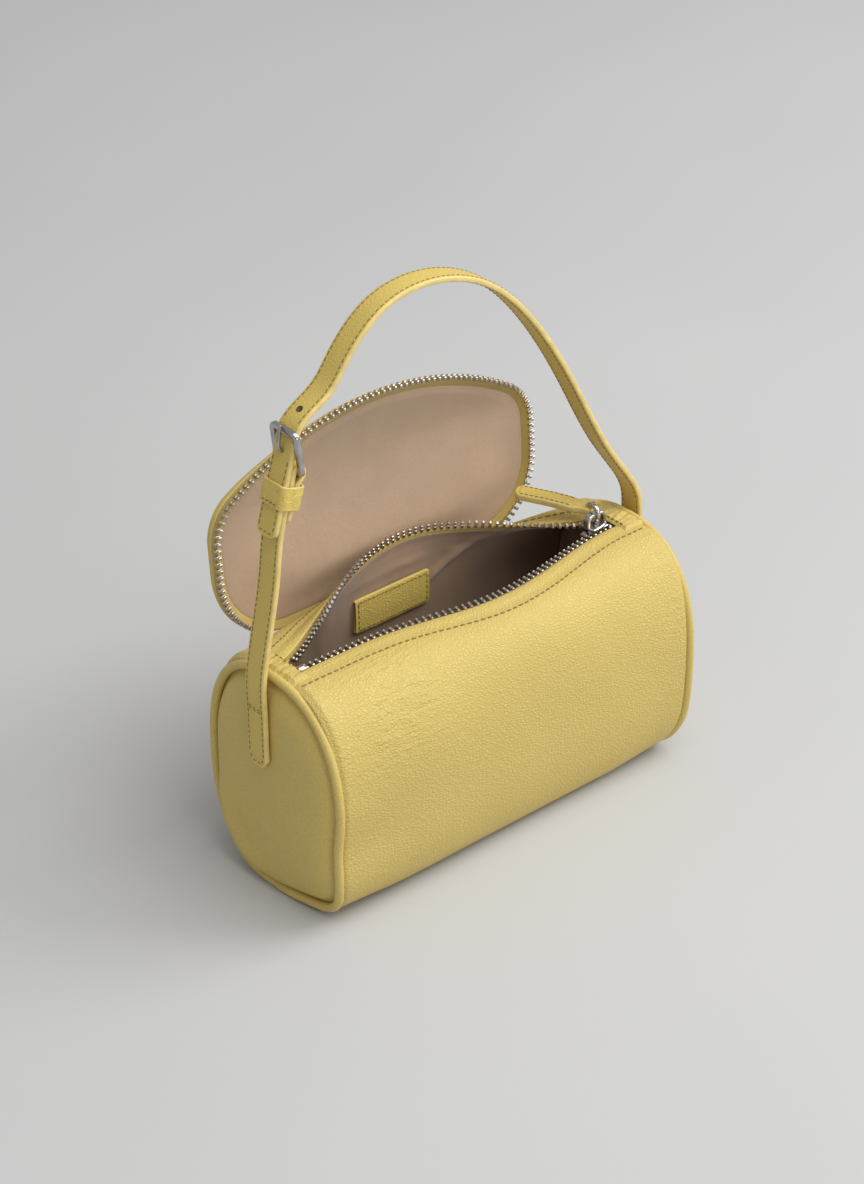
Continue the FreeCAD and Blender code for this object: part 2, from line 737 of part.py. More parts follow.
for along_share, spread_share in FOLD_SHARES:
    outward = fold_near + spread_share * (fold_far - fold_near)
    short_points.append(buckle_spot(-along_share * s.fold_length, outward))
short_strap = push_out(band(short_points, s.strap), strap_low_y, s.strap_width)
short_strap = rounded_foot(short_strap, strap_end_z, ROUND_SHARE * s.strap_width / 2)
slot_reach = wrap + s.strap
slot = Part.makeBox(
    2 * slot_reach, s.prong_slot, 2 * slot_reach,
    Vector(-slot_reach, -s.prong_slot / 2, -slot_reach / 2))
heel_x, heel_z = buckle_spot(0, heel_out)
buckle_turn = Rotation(Vector(0, 1, 0), s.buckle_lean)
slot.Placement = Placement(Vector(heel_x, s.strap_set_back, heel_z), buckle_turn)
feature("buckle_strap", short_strap.cut(slot))

# Sewn ends of the strap on the end panels
anchor_top = strap_end_z - s.end_clear
anchor_x = ring_x + s.end_puff + s.layer_gap
for side, name in ((-1, "left"), (1, "right")):
    start = min(side * anchor_x, side * (anchor_x + s.strap))
    block = Part.makeBox(
        s.strap, s.strap_width, anchor_top - strap_foot_z, Vector(start, strap_low_y, strap_foot_z))
    feature(name + "_strap_anchor", rounded_foot(block, strap_foot_z, ROUND_SHARE * s.strap_width / 2))

# Buckle frame: four round bars
top_out = s.strap / 2 + s.strap_clear + bar_half
top_x, top_z = buckle_spot(s.buckle_reach, top_out)
frame_half = s.strap_width / 2 + s.keeper_clear + bar_half
frame_length = hypot(top_x - heel_x, top_z - heel_z)
frame_angle = degrees(atan2(top_x - heel_x, top_z - heel_z))
frame_parts = []
for x, z, name in ((heel_x, heel_z, "heel"), (top_x, top_z, "top")):
    rod = bind(add("Part::Cylinder", name + "_bar"), Radius="Sizes.buckle_bar / 2")
    rod.Height = 2 * frame_half
    rod.Placement = Placement(Vector(x, s.strap_set_back + frame_half, z), Rotation(Vector(1, 0, 0), 90))
    frame_parts.append(rod)
for side, name in ((-1, "front"), (1, "rear")):
    y = s.strap_set_back + side * frame_half
    rod = bind(add("Part::Cylinder", name + "_bar"), Radius="Sizes.buckle_bar / 2")
    rod.Height = frame_length
    rod.Placement = Placement(Vector(heel_x, y, heel_z), Rotation(Vector(0, 1, 0), frame_angle))
    frame_parts.append(rod)
    for x, z, spot in ((heel_x, heel_z, "heel"), (top_x, top_z, "top")):
        ball = bind(add("Part::Sphere", "%s_%s_corner" % (name, spot)), Radius="Sizes.buckle_bar / 2")
        ball.Placement.Base = Vector(x, y, z)
        frame_parts.append(ball)
node(fuse("buckle_frame", frame_parts))

# Prong: an eye on the heel bar and a bent arm through the strap's hole to the top bar
arm_half = s.prong / 2
eye_in = bar_half + s.prong_fit
eye_out = eye_in + s.prong_wall
rest_out = top_out + bar_half + arm_half + s.prong_rest
ARM_SHARES = ((0.39, 0.3), (0.57, 0.92))
arm_route = [(0, heel_out + s.prong)]
arm_route += [(k * s.buckle_reach, heel_out + w * (rest_out - heel_out)) for k, w in ARM_SHARES]
arm_route += [(s.buckle_reach + bar_half, rest_out)]
arm_points = [buckle_spot(k, w) for k, w in arm_route]
arm_low_y = s.strap_set_back - s.prong_width / 2
arm_pieces = []
for (x, z), (nx, nz) in zip(arm_points, arm_points[1:]):
    length = hypot(nx - x, nz - z)
    side_x, side_z = (nz - z) * arm_half / length, (x - nx) * arm_half / length
    quad = [Vector(x + side_x, 0, z + side_z), Vector(nx + side_x, 0, nz + side_z),
            Vector(nx - side_x, 0, nz - side_z), Vector(x - side_x, 0, z - side_z)]
    arm_pieces.append(push_out(Part.Face(polygon(quad)), arm_low_y, s.prong_width))
for x, z in arm_points[1:-1]:
    arm_pieces.append(Part.makeCylinder(
        arm_half, s.prong_width, Vector(x, arm_low_y, z), Vector(0, 1, 0)))
heel_start = Vector(heel_x, arm_low_y, heel_z)
eye = Part.makeCylinder(eye_out, s.prong_width, heel_start, Vector(0, 1, 0))
prong = eye.fuse(arm_pieces)
bore_start = heel_start - Vector(0, s.overrun, 0)
prong = prong.cut(Part.makeCylinder(eye_in, s.prong_width + 2 * s.overrun, bore_start, Vector(0, 1, 0)))
feature("buckle_prong", prong.removeSplitter())

# Keeper: a leather loop round the stacked straps
keeper_out = s.strap / 2 + s.keeper_clear
keeper_in = fold_near + FOLD_SHARES[1][1] * (fold_far - fold_near) - s.strap / 2 - s.keeper_clear
keeper_depth = keeper_out - keeper_in
inner_width = s.strap_width + 2 * s.keeper_clear
keeper_mid = (keeper_out + keeper_in) / 2


def keeper_block(grow, extra):
    width, depth = inner_width + 2 * grow, keeper_depth + 2 * grow
    height = s.keeper_height + 2 * extra
    block = Part.makeBox(depth, width, height, Vector(-depth / 2, -width / 2, -height / 2))
    x, z = buckle_spot(-s.keeper_drop - s.keeper_height / 2, keeper_mid)
    block.Placement = Placement(Vector(x, s.strap_set_back, z), buckle_turn)
    return block


feature("keeper_loop", keeper_block(s.keeper_wall, 0).cut(keeper_block(0, s.overrun)))


# Check and write
doc.recompute()
for item in doc.Objects:
    if "Invalid" in item.State or "Error" in item.State:
        raise RuntimeError("failed object: " + item.Label)
os.makedirs("parts", exist_ok=True)
for item in nodes:
    if item.Shape.isNull() or not item.Shape.isValid():
        raise RuntimeError("bad shape: " + item.Label)
for item in nodes:
    item.Shape.exportStep("parts/%s.step" % item.Label)
print(len(nodes), "nodes")
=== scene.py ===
from itertools import product
from math import atan2, cos, degrees, exp, hypot, pi, radians, sin, sqrt
import bpy
import numpy as np
from mathutils import Matrix, Vector, noise


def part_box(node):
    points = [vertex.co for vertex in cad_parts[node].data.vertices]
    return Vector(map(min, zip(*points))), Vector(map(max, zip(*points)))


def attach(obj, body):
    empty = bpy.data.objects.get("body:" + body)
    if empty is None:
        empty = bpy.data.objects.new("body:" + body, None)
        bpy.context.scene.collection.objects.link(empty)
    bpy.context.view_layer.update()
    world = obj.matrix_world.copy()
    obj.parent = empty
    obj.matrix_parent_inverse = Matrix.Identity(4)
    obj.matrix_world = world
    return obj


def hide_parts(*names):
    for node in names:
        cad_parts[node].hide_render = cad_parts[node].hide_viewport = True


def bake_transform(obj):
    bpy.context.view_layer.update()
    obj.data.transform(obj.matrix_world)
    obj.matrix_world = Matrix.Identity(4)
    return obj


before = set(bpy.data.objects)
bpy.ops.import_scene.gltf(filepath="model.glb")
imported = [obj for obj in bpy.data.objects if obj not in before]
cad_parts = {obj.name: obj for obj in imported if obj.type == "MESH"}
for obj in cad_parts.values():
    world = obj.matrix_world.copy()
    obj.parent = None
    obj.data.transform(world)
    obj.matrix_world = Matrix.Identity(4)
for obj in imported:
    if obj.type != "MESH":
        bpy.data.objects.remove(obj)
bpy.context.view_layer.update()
MM = 0.001


# Materials

def tint(colour, share):
    return tuple(channel * share for channel in colour) + (1.0,)


class Paint:
    """A node material under construction: one shader, object coordinates and a few short calls."""

    def __init__(self, name):
        self.material = bpy.data.materials.new(name)
        self.material.use_nodes = True
        self.tree = self.material.node_tree
        self.tree.nodes.clear()
        self.shader = self.node("BsdfPrincipled")
        self.put(self.node("OutputMaterial").inputs[0], self.shader.outputs[0])
        self.place = self.node("TexCoord").outputs["Object"]

    def node(self, kind, **fields):
        item = self.tree.nodes.new("ShaderNode" + kind)
        for field, value in fields.items():
            setattr(item, field, value)
        return item

    def put(self, socket, value):
        if isinstance(value, bpy.types.NodeSocket):
            self.tree.links.new(value, socket)
        else:
            socket.default_value = value

    def feed(self, item, **values):
        """Gives each named input of a node a value or another node's output."""
        for field, value in values.items():
            self.put(item.inputs[field.replace("_", " ")], value)
        return item

    def mapped(self, vector=None, **values):
        """Coordinates that are stretched or turned."""
        return self.feed(self.node("Mapping"), Vector=vector or self.place, **values).outputs[0]

    def texture(self, kind, output, vector=None, fields=None, **values):
        """A texture, read at the object's coordinates or at another vector."""
        item = self.node("Tex" + kind, **(fields or {}))
        return self.feed(item, Vector=vector or self.place, **values).outputs[output]

    def noise(self, scale, detail=3.0, roughness=0.5, vector=None):
        return self.texture("Noise", "Fac", vector, Scale=scale, Detail=detail, Roughness=roughness)

    def warped(self, scale, amount):
        """The object's coordinates, pushed about by noise."""
        item = self.node("VectorMath", operation="MULTIPLY_ADD")
        push = self.texture("Noise", "Color", Scale=scale)
        for socket, value in zip(item.inputs, (push, (amount, amount, amount), self.place)):
            self.put(socket, value)
        return item.outputs[0]

    def cells(self, scale, vector):
        return self.texture("Voronoi", "Distance", vector, {"feature": "DISTANCE_TO_EDGE"}, Scale=scale)

    def wave(self, scale, direction, vector=None):
        return self.texture("Wave", "Fac", vector, {"bands_direction": direction}, Scale=scale, Distortion=0.6)

    def calc(self, operation, a, b):
        item = self.node("Math", operation=operation)
        self.put(item.inputs[0], a)
        self.put(item.inputs[1], b)
        return item.outputs[0]

    def span(self, value, low, high, to_low=0.0, to_high=1.0):
        item = self.node("MapRange", interpolation_type="SMOOTHSTEP")
        return self.feed(item, Value=value, From_Min=low, From_Max=high, To_Min=to_low, To_Max=to_high).outputs[0]

    def near(self, centre, inner, outer):
        """One at a place, falling to zero at the outer distance."""
        item = self.node("VectorMath", operation="DISTANCE")
        self.put(item.inputs[0], self.place)
        self.put(item.inputs[1], centre)
        return self.span(item.outputs["Value"], inner, outer, 1.0, 0.0)

    def axis(self, index):
        return self.feed(self.node("SeparateXYZ"), Vector=self.place).outputs[index]

    def blend(self, share, a, b):
        return self.feed(self.node("Mix", data_type="RGBA"), Factor=share, A=a, B=b).outputs["Result"]

    def mottled(self, value, low, high, colour, dark, light):
        """A colour that shifts between two of its tints."""
        return self.blend(self.span(value, low, high), tint(colour, dark), tint(colour, light))

    def bump(self, height, strength, distance, below=None):
        item = self.feed(self.node("Bump"), Height=height, Strength=strength, Distance=distance)
        if below:
            self.put(item.inputs["Normal"], below)
        return item.outputs[0]

    def set(self, **values):
        self.feed(self.shader, **values)
        return self.material


def leather(name, colour, grain, depth, roughness, creases=False):
    """Pebbled leather: domed cells with soft valleys darkened as painted shade, finer pores and slightly uneven dye.
    """
    paint = Paint(name)
    spot = paint.warped(300.0, 0.0009)
    along = paint.mapped(spot, Scale=(0.7, 1.0, 1.0))
    pebble = paint.span(paint.cells(grain, along), 0.0, 0.34)
    pores = paint.noise(grain * 2.4, 2.0)
    swell = paint.noise(grain * 0.4, 2.0)
    height = paint.calc("ADD", pebble, paint.calc("MULTIPLY", pores, 0.14))
    height = paint.calc("ADD", height, paint.calc("MULTIPLY", swell, 0.5))
    dye = paint.mottled(paint.noise(22.0, 4.0), 0.3, 0.72, colour, 0.97, 1.03)
    # Painted shade: the grain's valleys are tinted darker, as if shaded between the domed cells.
    painted_valley_shade = paint.blend(paint.span(pebble, 0.0, 0.4), tint(colour, 0.92), dye)
    normal = paint.bump(height, depth, 0.00042)
    if creases:
        gathers = paint.noise(520.0, 2.0, 0.5, paint.mapped(Scale=(0.22, 1.0, 1.0)))
        ends = paint.span(paint.calc("ABSOLUTE", paint.axis(0), 0.0), 0.078, 0.098)
        normal = paint.bump(paint.calc("MULTIPLY", gathers, ends), 0.4, 0.0011, normal)
        folds = paint.noise(330.0, 2.5, 0.55, paint.mapped(Scale=(0.3, 1.0, 0.9)))
        patch = paint.near((-0.064, -0.032, 0.096), 0.004, 0.042)
        normal = paint.bump(paint.calc("MULTIPLY", folds, patch), 0.7, 0.0021, normal)
    sheen_spots = paint.span(paint.noise(90.0, 3.0), 0.3, 0.7, roughness - 0.04, roughness + 0.05)
    return paint.set(Base_Color=painted_valley_shade, Roughness=sheen_spots, Normal=normal, Specular_IOR_Level=0.38)


def fabric(name, colour, threads, depth, roughness):
    """Woven cloth: crossed threads, fine fuzz and a slow change of tone."""
    paint = Paint(name)
    turned = paint.mapped(Rotation=(0.5, 0.35, 0.6))
    weave = paint.calc("MULTIPLY", paint.wave(threads, "X", turned), paint.wave(threads, "Z", turned))
    fuzz = paint.noise(threads * 2.2, 3.0, 0.65)
    tone = paint.mottled(paint.noise(34.0, 4.0), 0.3, 0.7, colour, 0.9, 1.08)
    tone = paint.blend(paint.span(fuzz, 0.3, 0.75), tint(colour, 0.76), tone)
    height = paint.calc("ADD", weave, fuzz)
    return paint.set(
        Base_Color=tone, Roughness=roughness, Normal=paint.bump(height, depth, 0.00016),
        Sheen_Weight=0.25, Specular_IOR_Level=0.25)


def metal(name, colour, roughness):
    """Plated metal: slow tarnish, fine brushing and small dents."""
    paint = Paint(name)
    tone = paint.mottled(paint.noise(210.0, 4.0), 0.3, 0.7, colour, 0.82, 1.06)
    brushed = paint.noise(1900.0, 2.0, 0.5, paint.mapped(Scale=(1.0, 6.0, 1.0)))
    gloss = paint.span(brushed, 0.2, 0.8, roughness - 0.06, roughness + 0.08)
    dents = paint.bump(paint.noise(520.0, 2.0), 0.12, 0.0002)
    return paint.set(Base_Color=tone, Roughness=gloss, Normal=dents, Metallic=1.0)


def thread(name, colour):
    """Twisted sewing thread."""
    paint = Paint(name)
    twist = paint.noise(2600.0, 2.0)
    tone = paint.mottled(twist, 0.3, 0.7, colour, 0.66, 1.1)
    return paint.set(Base_Color=tone, Roughness=0.7, Normal=paint.bump(twist, 0.4, 0.0001))


def painted_edge(name, colour):
    """The sealed edge of a strap: lighter and smoother than the leather."""
    paint = Paint(name)
    tone = paint.mottled(paint.noise(240.0, 3.0), 0.25, 0.75, colour, 0.88, 1.05)
    return paint.set(Base_Color=tone, Roughness=0.42, Normal=paint.bump(paint.noise(900.0, 2.0), 0.2, 0.0002))


YELLOW = (0.625, 0.475, 0.138)
STRAP_YELLOW = (0.68, 0.51, 0.125)
BODY_LEATHER = leather("body_leather_grain", YELLOW, grain=780.0, depth=0.5, roughness=0.5, creases=True)
PANEL_LEATHER = leather("end_leather_grain", YELLOW, grain=620.0, depth=0.12, roughness=0.52)
STRAP_LEATHER = leather("strap_leather_grain", STRAP_YELLOW, grain=900.0, depth=0.36, roughness=0.46)
EDGE_PAINT = painted_edge("strap_edge_paint", (0.74, 0.57, 0.20))
INNER_CLOTH = fabric("inner_cloth", (0.385, 0.255, 0.163), threads=2100.0, depth=0.35, roughness=0.85)
LID_CLOTH = fabric("lid_cloth", (0.56, 0.395, 0.265), threads=1500.0, depth=0.45, roughness=0.85)
TAPE_CLOTH = fabric("tape_cloth", (0.58, 0.42, 0.12), threads=2600.0, depth=0.4, roughness=0.8)
BOARD_SHEET = fabric("board_sheet", (0.33, 0.30, 0.26), threads=900.0, depth=0.2, roughness=0.8)
TOOTH_METAL = metal("tooth_metal", (0.54, 0.49, 0.42), roughness=0.34)
BRIGHT_METAL = metal("bright_metal", (0.58, 0.57, 0.57), roughness=0.2)
DARK_METAL = metal("buckle_gunmetal", (0.47, 0.46, 0.45), roughness=0.17)
SEWING = thread("sewing_thread", (0.27, 0.175, 0.05))


# Mesh helpers; every length below is in millimetres

def piece(name, points, faces, materials, body=None, stands_for=(), slot=None, marks=None, smooth=True):
    mesh = bpy.data.meshes.new(name)
    mesh.from_pydata((np.asarray(points, float) * MM).tolist(), [], faces)
    for item in materials if isinstance(materials, list) else [materials]:
        mesh.materials.append(item)
    if marks is not None:
        mesh.polygons.foreach_set("material_index", marks)
    mesh.polygons.foreach_set("use_smooth", [smooth] * len(mesh.polygons))
    mesh.update()
    thing = bpy.data.objects.new(name, mesh)
    bpy.context.scene.collection.objects.link(thing)
    if body:
        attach(thing, body)
    if stands_for:
        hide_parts(*stands_for)
    return thing


X_WAY, Y_WAY, Z_WAY = np.eye(3)


def wander(a, b, c):
    """Smooth noise between about -1 and 1."""
    return noise.noise(Vector((a, b, c)))


def facing(faces, flip):
    return [face[::-1] for face in faces] if flip else faces


def unit(vector):
    return vector / np.linalg.norm(vector)


def travelled(points):
    """How far along a run each of its points lies."""
    return np.concatenate([[0.0], np.cumsum(np.linalg.norm(np.diff(points, axis=0), axis=1))])


def spot_on(run, along, distance):
    """The place on a run at a distance along it."""
    return np.array([np.interp(distance, along, column) for column in run.T])


def arc(a, b, radius, start, turned, steps):
    """Points of an arc; its angles are in degrees."""
    turns = [radians(start + turned * step / steps) for step in range(steps + 1)]
    return [(a + radius * cos(turn), b + radius * sin(turn)) for turn in turns]


def grid_faces(rows, columns, closed_rows=False, closed_columns=False):
    faces = []
    for i in range(rows if closed_rows else rows - 1):
        for j in range(columns if closed_columns else columns - 1):
            row, next_row, right = i * columns, (i + 1) % rows * columns, (j + 1) % columns
            faces.append((row + j, row + right, next_row + right, next_row + j))
    return faces


def capped_faces(rows, columns, way=1):
    """The faces of closed rows of points, with a flat face at either end."""
    caps = [tuple(range(columns))[::way], tuple(range((rows - 1) * columns, rows * columns))[::-way]]
    return grid_faces(rows, columns, closed_columns=True) + caps


def domed_faces(rows, columns):
    """The faces of closed rows of points that end in a single point."""
    last = (rows - 1) * columns
    fan = [(last + k, last + (k + 1) % columns, last + columns) for k in range(columns)]
    return grid_faces(rows, columns, closed_columns=True) + fan


def evenly(points, count, closed=False):
    """The same run with its points spaced evenly along it."""
    run = np.asarray(points, float)
    if closed:
        run = np.vstack([run, run[:1]])
    along = travelled(run)
    return spot_on(run, along, np.linspace(0.0, along[-1], count, endpoint=not closed)).T


def softened(points, sigma):
    """A run of points with its corners eased, its two ends kept."""
    reach = int(3 * sigma) + 1
    weights = np.exp(-0.5 * (np.arange(-reach, reach + 1) / sigma) ** 2)
    weights /= weights.sum()
    head = 2 * points[0] - points[reach:0:-1]
    tail = 2 * points[-1] - points[-2:-reach - 2:-1]
    padded = np.vstack([head, points, tail])
    return np.stack([np.convolve(padded[:, k], weights, "valid") for k in range(points.shape[1])], axis=1)


def smooth_run(points, count):
    """A natural cubic through the points, sampled evenly along its length."""
    p = np.asarray(points, float)
    gaps = np.linalg.norm(np.diff(p, axis=0), axis=1)
    size = len(p)
    matrix, right = np.zeros((size, size)), np.zeros_like(p)
    matrix[0, 0] = matrix[-1, -1] = 1.0
    for i in range(1, size - 1):
        matrix[i, i - 1:i + 2] = gaps[i - 1], 2 * (gaps[i - 1] + gaps[i]), gaps[i]
        right[i] = 6 * ((p[i + 1] - p[i]) / gaps[i] - (p[i] - p[i - 1]) / gaps[i - 1])
    curve = np.linalg.solve(matrix, right)
    dense = []
    for i in range(size - 1):
        for u in np.linspace(0.0, 1.0, 24, endpoint=False):
            a, b, h = 1 - u, u, gaps[i]
            dense.append(a * p[i] + b * p[i + 1]
                         + ((a ** 3 - a) * curve[i] + (b ** 3 - b) * curve[i + 1]) * h * h / 6)
    dense.append(p[-1])
    return evenly(dense, count)


def tangents(points, closed=False):
    if closed:
        steps = np.roll(points, -1, axis=0) - np.roll(points, 1, axis=0)
    else:
        steps = np.gradient(points, axis=0)
    return steps / np.linalg.norm(steps, axis=1)[:, None]


def rounded_section(half_width, half_depth, radius, dome=0.0, across=6):
    """A rounded rectangle, anticlockwise, with a domed upper face; and which of its edges are sides."""
    outline, side = [], []
    for sign_a, sign_b, start in ((1, -1, -90), (1, 1, 0), (-1, 1, 90), (-1, -1, 180)):
        flat_next = start in (0, 180)
        outline += arc(sign_a * (half_width - radius), sign_b * (half_depth - radius), radius, start, 90, 4)
        side += [True] * 4 + [not flat_next]
        if flat_next:
            outline += [(sign_b * (1 - 2 * step / across) * (half_width - radius), sign_b * half_depth)
                        for step in range(1, across)]
            side += [False] * (across - 1)
    return [(a, b + (dome * (1 - (a / half_width) ** 2) if b > 0 else 0.0)) for a, b in outline], side


def edge_marks(sides, faces, caps=2):
    """Marks the faces of a swept strap that take the sealed edge: its sides and its end caps."""
    return [int(sides[k % len(sides)]) for k in range(len(faces) - caps)] + [1] * caps


def sweep(path, across, normal, section, closed=False, width_share=None):
    """Points and faces of a section carried along a path, with flat ends on an open one."""
    points, size = [], len(section)
    across, normal = (np.broadcast_to(ways, (len(path), 3)) for ways in (across, normal))
    for index, spot in enumerate(path):
        share = 1.0 if width_share is None else width_share[index]
        for a, b in section:
            points.append(spot + across[index] * a * share + normal[index] * b)
    if closed:
        return points, grid_faces(len(path), size, closed_rows=True, closed_columns=True)
    return points, capped_faces(len(path), size)


def tube(path, radius, sides=14, closed=False, start_normal=Z_WAY):
    """A round tube; its frame is carried along the path without twisting."""
    ahead = tangents(path, closed)
    up = start_normal
    section = [(radius * cos(2 * pi * k / sides), radius * sin(2 * pi * k / sides)) for k in range(sides)]
    normals, across = [], []
    for direction in ahead:
        up = unit(up - direction * np.dot(up, direction))
        normals.append(up)
        across.append(np.cross(direction, up))
    return sweep(path, across, normals, section, closed)


SIGNS = tuple(product((-1, 1), repeat=3))


def chamfer_box(centre, size, cut):
    """A box with all its edges cut, as points and faces."""
    points, index = [], {}
    for signs in SIGNS:
        for axis in range(3):
            corner = np.asarray(size, float) / 2 - cut
            corner[axis] += cut
            index[(*signs, axis)] = len(points)
            points.append(np.asarray(centre, float) + corner * signs)

    def spot(axis, along, side_u, side_v, face):
        key = [0, 0, 0]
        key[axis], key[(axis + 1) % 3], key[(axis + 2) % 3] = along, side_u, side_v
        return index[(*key, face)]

    faces = []
    for axis in range(3):
        u, v = (axis + 1) % 3, (axis + 2) % 3
        for sign in (-1, 1):
            ring = [spot(axis, sign, su, sv, axis) for su, sv in ((-1, -1), (1, -1), (1, 1), (-1, 1))]
            faces.append(tuple(ring[::sign]))
        for su, sv in product((-1, 1), repeat=2):
            quad = [spot(axis, along, su, sv, face) for along, face in ((-1, u), (1, u), (1, v), (-1, v))]
            faces.append(tuple(quad[::-su * sv]))
    for signs in SIGNS:
        corner = tuple(index[(*signs, axis)] for axis in range(3))
        faces.append(corner[::signs[0] * signs[1] * signs[2]])
    return points, faces


def rounded_loop(half_a, half_b, corner, count):
    """A rectangle with rounded corners, as even (a, b) points."""
    loop = []
    for sa, sb, start in ((1, 1, 0), (-1, 1, 90), (-1, -1, 180), (1, -1, 270)):
        loop += arc(sa * (half_a - corner), sb * (half_b - corner), corner, start, 90, 8)
    return evenly(loop, count, closed=True)


def joined(parts):
    points, faces = [], []
    for some_points, some_faces in parts:
        start = len(points)
        points.extend(some_points)
        faces.extend(tuple(i + start for i in face) for face in some_faces)
    return points, faces


STITCH_RINGS = ((-0.5, 0.35), (-0.36, 0.85), (0.0, 1.0), (0.36, 0.85), (0.5, 0.35))
STITCH_SIDES = 6

# Each seam's pitch, length of stitch, thread radius and lift
MOUTH_STITCH, TAB_STITCH, PATCH_STITCH = (3.3, 2.3, 0.42, 0.08), (2.6, 1.8, 0.32, 0.1), (2.4, 1.7, 0.26, 0.2)
PULL_STITCH, PULL_TIP_STITCH = (2.4, 1.7, 0.28, 0.04), (2.3, 1.7, 0.28, 0.04)
STRAP_STITCH, FOOT_STITCH, KEEPER_STITCH = (2.7, 1.9, 0.27, 0.02), (2.2, 1.6, 0.27, 0.04), (2.3, 1.6, 0.27, 0.05)


def stitch_row(points, normals, pitch, length, radius, lift):
    """Short rounded stitches, half sunk, along a run of points."""
    points = np.asarray(points, float)
    joint = np.hstack([points, np.broadcast_to(normals, points.shape)])
    along = travelled(points)
    count = max(int(along[-1] / pitch), 1)
    parts = []
    for k in range(count):
        middle = (k + 0.5) * along[-1] / count
        start, end = (spot_on(joint, along, middle + shift) for shift in (-length / 2, length / 2))
        centre, out = (start + end)[:3] / 2, unit((start + end)[3:])
        ahead = (end - start)[:3]
        ahead = ahead / max(np.linalg.norm(ahead), 1e-6)
        across = np.cross(ahead, out)
        ring_points = []
        for place, size in STITCH_RINGS:
            for side in range(STITCH_SIDES):
                turn = 2 * pi * side / STITCH_SIDES
                offset = across * cos(turn) * radius * size + out * (sin(turn) * radius * size + lift)
                ring_points.append(centre + ahead * place * length + offset)
        parts.append((ring_points, capped_faces(len(STITCH_RINGS), STITCH_SIDES, -1)))
    return joined(parts)


def eased(value, low, high):
    """A smooth step, from 0 at low to 1 at high."""
    share = min(max((value - low) / (high - low), 0.0), 1.0)
    return share * share * (3 - 2 * share)


# Barrel form: the same sections as the frame

WIDTH, HEIGHT = 89.0, 111.0
BODY_HALF, BODY_TOP, BODY_REACH = 43.6, 110.1, 99.3
WIDEST, LIP = 53.0, 8.85
# By side, front (-1) and rear (1): the base's reach and the power of its edge, in the middle and at the ends;
# then each tooth row's bow, rise, turn, the place of its peak and its powers left and right of that
FEET = {-1: (21.0, 20.5), 1: (12.0, 11.0)}
FOOT_POWERS = {-1: (2.7, 2.7), 1: (2.25, 2.2)}
LEFT_REACH, RIGHT_REACH = 90.0, 84.0
ROW_GAP = 2.9
BOWS = {-1: 10.0, 1: 41.7}
RISES = {-1: 0.0, 1: 6.0}
TURNS = {-1: 12.0, 1: 90.0}
PEAKS = {-1: 12.0, 1: 4.0}
ROW_POWERS = {-1: (4.8, 1.8), 1: (1.3, 1.3)}
TOP_POWER = 2.45
LEATHER_EDGE, SKIN_COUNT, SOFTEN = 3.75, 420, 1.4
RING_X, RING_RADIUS = 100.0, 2.0


def row_frame(side, x):
    """A point of a tooth row, the way away from the mouth and the way outward, in (y, z)."""
    peak = PEAKS[side]
    reach = LEFT_REACH + peak if x < peak else RIGHT_REACH - peak
    angle = pi / 2 * min(1.0, abs(x - peak) / reach)
    power = ROW_POWERS[side][x > peak]
    share = cos(angle) ** power
    turn = radians(TURNS[side] * share)
    slope = BOWS[side] * power * cos(angle) ** (power - 1) * sin(angle) * pi / 2 / reach
    point = np.array([side * (ROW_GAP + BOWS[side] * share), BODY_TOP + RISES[side] * share])
    away = np.array([side * cos(turn), -sin(turn)]) * hypot(1.0, slope)
    out = np.array([side * sin(turn), cos(turn)])
    return point, away, out


def foot_of(side, near_end):
    """How far the flat base reaches and how square its edge is: rounder towards the bag's ends."""
    return tuple(a + (b - a) * near_end for a, b in (FEET[side], FOOT_POWERS[side]))


def flank(side, lip_y, lip_z, half, foot_z, near_end, steps=34):
    """One side of a section, from its lip over the widest place to the edge of the base."""
    run, (foot, power) = [], foot_of(side, near_end)
    upper, lower = range(steps, -1, -1), range(1, steps + 1)
    for near, end_z, bend, order in ((lip_y, lip_z, TOP_POWER, upper), (foot, foot_z, power, lower)):
        for step in order:
            angle = pi / 2 * step / steps
            run.append((side * (near + (half - near) * abs(cos(angle)) ** (2 / bend)),
                        WIDEST + (end_z - WIDEST) * sin(angle) ** (2 / bend)))
    return run


def ridge(distance):
    """The folded edge beside the zip stands a little proud and dips at its row of stitches."""
    return 0.5 * exp(-((distance - 6.2) / 1.5) ** 2) - 0.2 * exp(-((distance - 8.2) / 0.6) ** 2)


def barrel_run(x, inset, start, count, sigma):
    """One section from the front edge of the mouth, round the base, to its rear edge."""
    halves, near_end = [], eased(abs(x), 66.0, 99.0)
    for side in (-1, 1):
        point, away, out = row_frame(side, x)
        edge = np.linspace(start, LIP + 0.6, 12)[:-2]
        run = [tuple(point + away * d + out * (ridge(d) - inset)) for d in edge]
        lip = point + away * LIP - out * inset
        run += flank(side, abs(lip[0]), lip[1], BODY_HALF - inset, inset, near_end)[1:]
        halves.append(run)
    base = [(y, inset) for y in np.linspace(-foot_of(-1, near_end)[0], foot_of(1, near_end)[0], 12)[1:-1]]
    return softened(evenly(halves[0] + base + halves[1][::-1], count), sigma)


